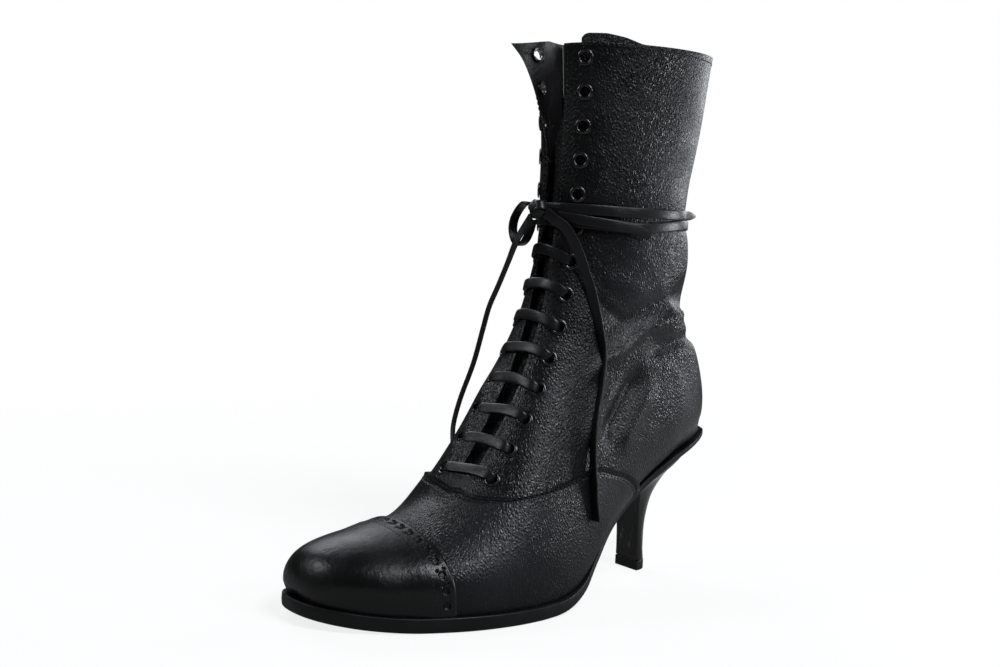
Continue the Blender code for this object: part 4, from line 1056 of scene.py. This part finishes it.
def vamp_lift(depth, inset):
    """The vamp's height over the quarters: low under the cap, a rim at its edge, a stitch groove."""
    rise, groove, groove_at, tuck = 0.6, 0.45, 3.2, 0.8
    rim = rise * np.exp(-(inset / 1.3) ** 2) - groove * np.exp(-((inset - groove_at) / 0.9) ** 2)
    return VAMP_LIFT - tuck * (1 - ease(depth / 0.05)) + rim * ease(depth / 0.2)


def make_vamp():
    share = np.linspace(-1, 1, 221)
    fine = 0.88
    depth = np.concatenate([np.linspace(0, fine, 50), np.linspace(fine, 1, 27)[1:]])
    at, across = vamp_place(share[None], depth[:, None])
    steps = np.linalg.norm(np.diff(skin(at, across), axis=0), axis=-1)
    inset = np.concatenate([np.cumsum(steps[::-1], axis=0)[::-1], np.zeros((1, len(share)))])
    lift = vamp_lift(depth[:, None], inset)
    points = lifted(at, across, lift)
    points = points + skin_normal(at, across) * fold_height(skin(at, across))[..., None]
    calm = 0.35 + 0.45 * rising(at, 8.8, 0.8)
    # The second mark is painted sheen: lighter patches where reflections brighten the leather
    bm = merged(sheet(points, marks={"calm": calm, "painted_sheen": painted_sheen_share(points)}))
    vamp = add_piece("vamp_overlay", bm, ["grain_leather"], ["vamp"], sharp=60)
    give_thickness(vamp, VAMP_THICK, edge=OVERLAY_EDGE)


PUNCH_LINE = 4.86
BIG_PITCH, BIG_HOLE, SMALL_HOLE, SMALL_ASIDE = 9.0, 1.5, 0.65, 1.5
CAP_LIFT, CAP_BAND, CAP_THICK = 1.9, 2.8, 1.0
CAP_END = CAP_AT + 0.06


def punch_holes():
    """Middles and radii of the band's holes: a big one, then a pair of small ones."""
    line = np.linspace(reach(PUNCH_LINE, -1) + 5, reach(PUNCH_LINE, 1) - 5, 400)
    places = evenly(np.column_stack([lifted(PUNCH_LINE + 0 * line, line, CAP_BAND), line]), BIG_PITCH)
    along = unit(np.gradient(places[:, :3], axis=0))
    out = skin_normal(np.full(len(places), PUNCH_LINE), places[:, 3])
    holes = [(place[:3], BIG_HOLE) for place in places]
    for place, run, normal in zip(places[:-1, :3], along, out):
        middle = place + run * BIG_PITCH / 2
        aside = np.cross(normal, run) * SMALL_ASIDE
        holes += [(middle + aside, SMALL_HOLE), (middle - aside, SMALL_HOLE)]
    return holes


def make_toe_cap():
    """Toe cap with a punched band along its rear edge."""
    start, fine = 0.02, 4.5
    rows = np.concatenate([np.linspace(start, fine, 56)[:-1], np.linspace(fine, CAP_END, 42)])
    share = np.linspace(-1, 1, 321)
    at = np.repeat(rows[:, None], len(share), axis=1)
    far = np.where(share[None] > 0, reach(rows, 1)[:, None], -reach(rows, -1)[:, None])
    across = share[None] * far
    band_rise, rear_drop, tip_drop = CAP_BAND - CAP_LIFT, 0.5, 0.8
    lift = CAP_LIFT + band_rise * rising(at, 4.2, 0.5) - rear_drop * (1 - falling(at, CAP_END, 0.04))
    lift = lift - tip_drop * (1 - ease(at / 0.6))
    points = lifted(at, across, lift)
    sink = np.zeros(at.shape)
    # The holes are shallow dents; their depths are darkened as painted shade
    dark = np.zeros(at.shape)
    for centre, radius in punch_holes():
        gap = np.linalg.norm(points - centre, axis=-1)
        sink = np.maximum(sink, 0.9 * falling(gap, radius + 0.25, 0.5))
        dark = np.maximum(dark, falling(gap, radius + 0.1, 0.3))
    points = points - skin_normal(at, across) * sink[..., None]
    bm = merged(sheet(points, marks={"punch_hole_shade": dark}))
    cap = add_piece("toe_cap_leather", bm, ["toe_cap_leather"], ["toe_cap"], sharp=60)
    give_thickness(cap, CAP_THICK, edge=OVERLAY_EDGE)


def make_tongue():
    """Tongue under the throat; its top has slid to the outer side and has rounded corners."""
    foot, foot_share, widening, steps = 6.9, 0.62, 0.1, 6
    rows = np.linspace(foot, COLLAR, 110)
    share = np.linspace(-1, 1, 33)
    lean = TONGUE_LEAN * rising(rows, HEEL_AT, COLLAR - HEEL_AT)
    half = TONGUE_HALF * np.minimum(1.0, foot_share + widening * (rows - foot))
    across = lean[:, None] + half[:, None] * share[None]
    points = lifted(rows[:, None], across, -WALL - TONGUE_CLEAR, curl=False)
    corner = np.interp(share, [-1.0, -0.95, -0.84, -0.36, 0.1, 0.52, 0.8],
                       [0.5, 0.8, 1.0, 1.0, 0.67, 0.13, 0.0])
    rise = np.zeros((steps, len(share), 3))
    rise[..., 2] = np.linspace(0, TONGUE_RISE, steps + 1)[1:, None] * corner
    points = np.concatenate([points, points[-1] + rise])
    tongue = add_piece("tongue_leather", sheet(points), ["tongue_leather", "lining"],
                       ["tongue"], sharp=60)
    give_thickness(tongue, TONGUE_THICK, lining=1, edge=0.6)


# Eyelets, stitches and zip

def make_eyelets():
    """Rolled eyelets: a domed enamelled flange with a barrel pressed over the inside of the wall."""
    profile = [(3.85, 0.1), (3.8, 0.35), (3.5, 0.62), (3.05, 0.72), (2.65, 0.62), (2.42, 0.36),
               (2.35, 0.0), (2.35, -WALL - 0.1), (2.6, -WALL - 0.45), (3.3, -WALL - 0.3)]
    bare_from = -0.3
    bm = bmesh.new()
    verts = [bm.verts.new((radius, 0.0, height)) for radius, height in profile]
    edges = [bm.edges.new(pair) for pair in zip(verts, verts[1:])]
    bmesh.ops.spin(bm, geom=verts + edges, cent=(0, 0, 0), axis=(0, 0, 1), angle=2 * math.pi, steps=28,
                   use_merge=True)
    bmesh.ops.recalc_face_normals(bm, faces=bm.faces)
    for face in bm.faces:
        face.material_index = 1 if face.calc_center_median().z < bare_from else 0
    top = max(bm.faces, key=lambda face: face.calc_center_median().z)
    if top.normal.z < 0:
        bmesh.ops.reverse_faces(bm, faces=bm.faces)
    places = []
    names = []
    for side, word in ((1, "lateral"), (-1, "medial")):
        across = side * EYELET_LINE
        for number, at in enumerate(PLACES[side], 1):
            places.append(stand(skin(at, across), skin_normal(at, across), (0.0, 0.3, 1.0)))
            names.append(f"eyelet_{word}_{number:02d}")
    add_piece("eyelets", repeated(bm, places), ["enamel", "nickel"], names)


def spots_along(at, across, lift, places):
    """Points, normals and directions along a line on the skin; places gives them for its length."""
    at, across = np.broadcast_arrays(np.asarray(at, float), np.asarray(across, float))
    line = np.column_stack([lifted(at, across, lift), at, across])
    run = arc(line[:, :3])
    line = resampled(line, run, places(run[-1]))
    points = line[:, :3]
    return zip(points, skin_normal(line[:, 3], line[:, 4]), unit(np.gradient(points, axis=0)))


STITCH_LIFT = 0.12
STITCH_SIZE = (1.0, 0.3, 0.26, 1.0)


def stitch_row(at, across, lift=STITCH_LIFT, pitch=2.5):
    """Places of stitches along a line on the skin."""
    def places(length):
        return np.linspace(0, length, max(3, int(length / pitch)))
    return [stand(*spot) for spot in spots_along(at, across, lift, places)]


def make_stitches():
    places = []
    near_edge = 0.97
    for side in (1, -1):
        share = side * np.linspace(0.02, 0.985, 300)
        near, edge = (lifted(*vamp_place(share, depth), 1.0) for depth in (near_edge, 1.0))
        gap = np.maximum(np.linalg.norm(edge - near, axis=-1), 0.05)
        for inset in (2.0, 4.2):
            depth = 1 - inset * (1 - near_edge) / gap
            places += stitch_row(*vamp_place(share, depth), vamp_lift(depth, inset) + STITCH_LIFT)
        rows = np.linspace(THROAT_AT + 0.35, COLLAR - 0.25, 300)
        places += stitch_row(rows, side * (THROAT_HALF + 2.0))
    for at in (CAP_AT - 0.06, CAP_AT - 0.34):
        line = np.linspace(reach(at, -1) + 3, reach(at, 1) - 3, 200)
        places += stitch_row(at, line, lift=2.7, pitch=2.1)
    ends = [reach(COLLAR - 0.18, side) for side in (1, -1)]
    for line in ((THROAT_HALF + 3, ends[0]), (ends[1], -THROAT_HALF - 3)):
        places += stitch_row(COLLAR - 0.14, np.linspace(*line, 160))
    rows = np.linspace(ZIP_LOW + 0.1, COLLAR - 0.25, 120)
    for offset in (-ZIP_HALF - 2.2, ZIP_HALF + 2.2):
        places += stitch_row(rows, [zip_across(at, offset) for at in rows])
    bm = bmesh.new()
    bmesh.ops.create_uvsphere(bm, u_segments=6, v_segments=4, radius=1.0)
    bm.transform(Matrix.Diagonal(STITCH_SIZE))
    add_piece("stitches", repeated(bm, places), ["thread"])


TOOTH_SIZE = (1.25, 3.0, 1.7, 1.0)
TOOTH_PITCH, TOOTH_ASIDE, TOOTH_SINK = 1.6, 0.9, 0.9
TAPE_MARGIN, TAPE_GAP, TAPE_THICK = 1.5, 0.15, 0.5


def make_zip():
    rows = np.linspace(ZIP_LOW - 0.06, COLLAR - 0.02, 120)
    offsets = np.linspace(-ZIP_HALF - TAPE_MARGIN, ZIP_HALF + TAPE_MARGIN, 9)
    across = np.array([[zip_across(row, offset) for offset in offsets] for row in rows])
    bm = sheet(lifted(rows[:, None], across, -WALL - TAPE_GAP))
    give_thickness(add_piece("zip_tape", bm, ["tape"]), TAPE_THICK)
    middle = [zip_across(row, 0.0) for row in rows]

    def along_tape(length):
        return np.arange(2.0, length - 1.0, TOOTH_PITCH)
    places = []
    for k, (point, normal, along) in enumerate(spots_along(rows, middle, -TOOTH_SINK, along_tape)):
        aside = np.cross(normal, along) * (TOOTH_ASIDE if k % 2 else -TOOTH_ASIDE)
        places.append(stand(point + aside, normal, along))
    bm = bmesh.new()
    bmesh.ops.create_cube(bm, size=1.0)
    bm.transform(Matrix.Diagonal(TOOTH_SIZE))
    bmesh.ops.bevel(bm, geom=bm.edges[:], offset=0.3, offset_type="OFFSET", segments=1, profile=0.5,
                    affect="EDGES", material=-1)
    add_piece("zip_teeth", repeated(bm, places), ["brass"], ["zip"])


# Lace

BAR_SWAY, BAR_NARROW, HIDDEN_WIDE = 0.35, 0.9, 4.2
TURN_WIDE, TURN_LIFT, CUT_WIDE, CUT_LIFT = 4.8, 1.0, 4.6, 2.4


def make_bars():
    """Bars over the throat, narrowed where they dive into their eyelets."""
    shape = np.array([(1.0, -2.4), (0.985, -0.9), (0.95, 0.4), (0.88, 1.15), (0.76, 1.4), (0.6, 1.25),
                      (0.42, 1.0), (0.2, 0.85), (0.0, 0.8)])
    shape = np.concatenate([shape * (-1, 1), shape[-2::-1]])
    tilts = [0.10, -0.14, 0.12, -0.06, 0.15, -0.1, 0.08, -0.12]
    parts = []
    for number, tilt in enumerate(tilts):
        index = EYELET_COUNT - LACED + number
        share, lift = smooth_route(shape, 60).T
        at = PLACES[-1][index] + (PLACES[1][index] - PLACES[-1][index]) * 0.5 * (1 + share)
        across = share * EYELET_LINE
        path = lifted(at, across, lift)
        faces = skin_normal(at, across)
        along = unit(np.gradient(path, axis=0))
        aside = np.cross(along, faces)
        faces = faces + aside * (tilt * np.cos(share * 2.2))[:, None]
        path = path + aside * (BAR_SWAY * np.sin(3.1 * number + 2.5 * share))[:, None]
        wide = LACE_WIDE - BAR_NARROW * rising(np.abs(share), 0.7, 0.25)
        parts.append(ribbon(path, faces, wide))
        if number:
            side = 1 if number % 2 else -1
            steps, clear, swing = 14, 0.85, 0.5
            at = np.linspace(PLACES[side][index - 1], PLACES[side][index], steps)
            across = side * EYELET_LINE + 0 * at
            sag = -WALL - clear + swing * np.cos(np.linspace(0, 2 * math.pi, steps)) - swing
            parts.append(ribbon(lifted(at, across, sag), skin_normal(at, across), HIDDEN_WIDE))
    names = [f"lace_bar_{number:02d}" for number in range(1, LACED + 1)]
    add_piece("lace_bars", joined(parts), ["lace_leather"], names)


def band(shares, heights, lift, wide):
    """Strand round the ankle: shares of the way to the back (outer side +), heights and lift."""
    def placed(at):
        return shares * np.where(shares >= 0, reach(at, 1), -reach(at, -1))
    across, rounds, back_from, back_seam = placed(ANKLE_AT), 4, 0.97, 0.999
    for _ in range(rounds):
        at = at_level(across, heights)
        across = placed(at)
    normals = skin_normal(at, across * back_seam)
    normals[np.abs(shares) > back_from] = (-1.0, 0.0, 0.0)
    normals[:, 2] = 0.0
    normals = unit(normals)
    over = falling(np.abs(shares), 0.36, 0.1)
    path = skin(at, across)
    path = path + normals * (lift + over + np.minimum(fold_height(path), 0.0))[:, None]
    return ribbon(path, normals, wide)


def make_turns():
    """Two turns round the ankle, and two cut ends that lie over them."""
    share = np.concatenate([np.linspace(0.0, 1, 70), np.linspace(-1, 0.0, 70)[1:]])
    upper = band(share, 178.0 - 0.6 * ease(np.abs(share) / 0.4), TURN_LIFT, TURN_WIDE)
    dip = np.interp(share, [-1, -0.5, 0.0, 0.16, 0.29, 0.39, 0.465, 0.57, 0.72, 1],
                    [172.8, 172.4, 172.3, 171.4, 170.6, 170.2, 170.3, 171.6, 172.7, 172.8])
    lower = band(share, dip, TURN_LIFT, TURN_WIDE)
    short = np.linspace(0.05, 0.455, 40)
    fall = np.interp(short, [0.05, 0.163, 0.29, 0.39, 0.455], [174.2, 172.5, 171.1, 169.7, 167.3])
    cut_end = band(short, fall, CUT_LIFT, CUT_WIDE)
    tail = np.linspace(0.66, 0.88, 30)
    point = np.interp(tail, [0.66, 0.8, 0.88], [4.4, 4.4, 0.8])
    tail_end = band(tail, 177.5, 0.9 + 5.6 * rising(tail, 0.74, 0.18), point)
    add_piece("lace_turns", joined([upper, lower, cut_end, tail_end]), ["lace_leather"],
              ["lace_turn_upper", "lace_turn_lower"])


def make_knot():
    """Knot of the two ends: three short strands wound over each other, by lean, width and size."""
    strands = ((0.5, 4.6, (3.0, 4.3, 4.3)), (-0.7, 4.4, (3.4, 4.0, 4.0)), (1.7, 4.2, (2.8, 4.4, 3.6)))
    turn = np.linspace(0, 2 * math.pi, 48)
    parts = []
    for lean, wide, size in strands:
        ring = np.stack([size[0] * np.cos(turn), size[1] * np.sin(turn) * math.cos(lean),
                         size[2] * np.sin(turn) * math.sin(lean) + 0.8 * np.cos(turn)], axis=-1)
        parts.append(ribbon(np.array(KNOT_AT) + ring, unit(ring), wide))
    add_piece("lace_knot_wound", joined(parts), ["lace_leather"], ["lace_knot"])


def turned_from_view(angles):
    """Directions of a lace's flat side; angles has shares of its run and degrees from the camera."""
    def faces(path):
        run = arc(path)
        angle = np.radians(np.interp(run / run[-1], *zip(*angles)))[:, None]
        to_camera = unit(np.array(CAMERA_AT) - path)
        aside = unit(np.cross(np.gradient(path, axis=0), to_camera))
        return np.cos(angle) * to_camera + np.sin(angle) * aside
    return faces


def free_lace(name, route, faces, replaces, wide):
    path = evenly(smooth_route(route, 160), 1.6)
    run = arc(path)
    bm = ribbon(path, faces(path), wide(run))
    piece = add_piece(name, bm, ["lace_leather"], replaces)


def hang_width(run):
    """Full width along a hanging end, rolled narrower in its last stretch."""
    left = run[-1] - run
    return LACE_WIDE - 1.3 * falling(left, 17.0, 6.0) - 0.3 * falling(left, 2.0, 2.0)


def make_free_lace():
    free_lace("lace_outer_end", OUTER_END_ROUTE,
              turned_from_view([(0, 20), (0.3, 24), (0.5, 52), (0.8, 54), (1, 38)]),
              ["lace_end_lateral", "lace_tip_lateral"], hang_width)
    free_lace("lace_inner_end", INNER_END_ROUTE, turned_from_view([(0, 55), (0.2, 68), (1, 70)]),
              ["lace_end_medial", "lace_tip_medial"], hang_width)
    middle = np.mean(LOOP_ROUTE, axis=0)
    free_lace("lace_bow_loop", LOOP_ROUTE, lambda path: unit(path - middle), ["lace_loop"],
              lambda run: CUT_WIDE + 0 * run)


# Studio

Light = namedtuple("Light", "name place size power")
LIGHTS = [
    Light("rear", (-0.92, 0.4, 0.17), (0.25, 0.12), 1.7),
    Light("edge", (-1.02, -0.2, 0.36), (0.4, 0.35), 1.6),
    Light("side", (-0.35, 1.0, 0.66), (0.35, 0.25), 1.5),
    Light("top", (-0.05, 0.65, 0.95), (0.35, 0.35), 4.6),
    Light("inner", (-0.12, -0.85, 0.72), (0.6, 0.4), 2.2),
    Light("front", (0.75, -0.45, 0.7), (0.3, 0.3), 1.5),
]
LIGHT_COLOUR = (0.92, 0.95, 1.0)
LIT_POINT = Vector((0.0, 0.0, 0.12))
SURROUND = 0.03
FLOOR_RADIUS = 0.8


def add_light(lamp):
    data = bpy.data.lights.new(lamp.name, "AREA")
    data.shape = "RECTANGLE"
    data.size, data.size_y = lamp.size
    data.energy = lamp.power
    data.color = LIGHT_COLOUR
    light = add_object(lamp.name, data)
    light.location = lamp.place
    light.rotation_euler = (LIT_POINT - light.location).to_track_quat("-Z", "Y").to_euler()


def make_studio():
    bm = bmesh.new()
    bmesh.ops.create_circle(bm, cap_ends=True, segments=96, radius=FLOOR_RADIUS)
    mesh = bpy.data.meshes.new("floor")
    bm.to_mesh(mesh)
    bm.free()
    mesh.materials.append(floor_material())
    add_object("floor", mesh)
    for lamp in LIGHTS:
        add_light(lamp)
    world = bpy.data.worlds.new("studio")
    bpy.context.scene.world = world
    world.use_nodes = True
    tree = world.node_tree
    seen = new_node(tree, "ShaderNodeLightPath").outputs["Is Camera Ray"]
    background = tree.nodes["Background"]
    feed(tree, background.inputs["Color"], (1.0, 1.0, 1.0))
    strength = maths(tree, "MULTIPLY_ADD", seen, 1.0 - SURROUND, SURROUND)
    feed(tree, background.inputs["Strength"], strength)


def make_camera():
    data = bpy.data.cameras.new("camera")
    data.sensor_width = 36.0
    data.lens = CAMERA_LENS
    data.clip_start, data.clip_end = 0.01, 20.0
    camera = add_object("camera", data)
    turned = Matrix((CAMERA_RIGHT, CAMERA_UP, CAMERA_BACK)).transposed().to_4x4()
    turned.translation = Vector((np.array(CAMERA_AT) - CENTRE) * MM)
    camera.matrix_world = turned
    bpy.context.scene.camera = camera


for make in (make_camera, make_outsole, make_heel, make_heel_tip, make_upper, make_vamp, make_toe_cap,
             make_tongue, make_eyelets, make_stitches, make_zip, make_bars, make_turns, make_knot,
             make_free_lace, make_studio):
    make()
for node_name, finish_name in (("insole", "insole"), ("zip_slider", "steel"),
                               ("zip_pull_ring", "steel"), ("zip_pull_tab", "lace_leather")):
    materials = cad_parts[node_name].data.materials
    materials.clear()
    materials.append(FINISH[finish_name])
bpy.context.scene.view_settings.view_transform = "Standard"
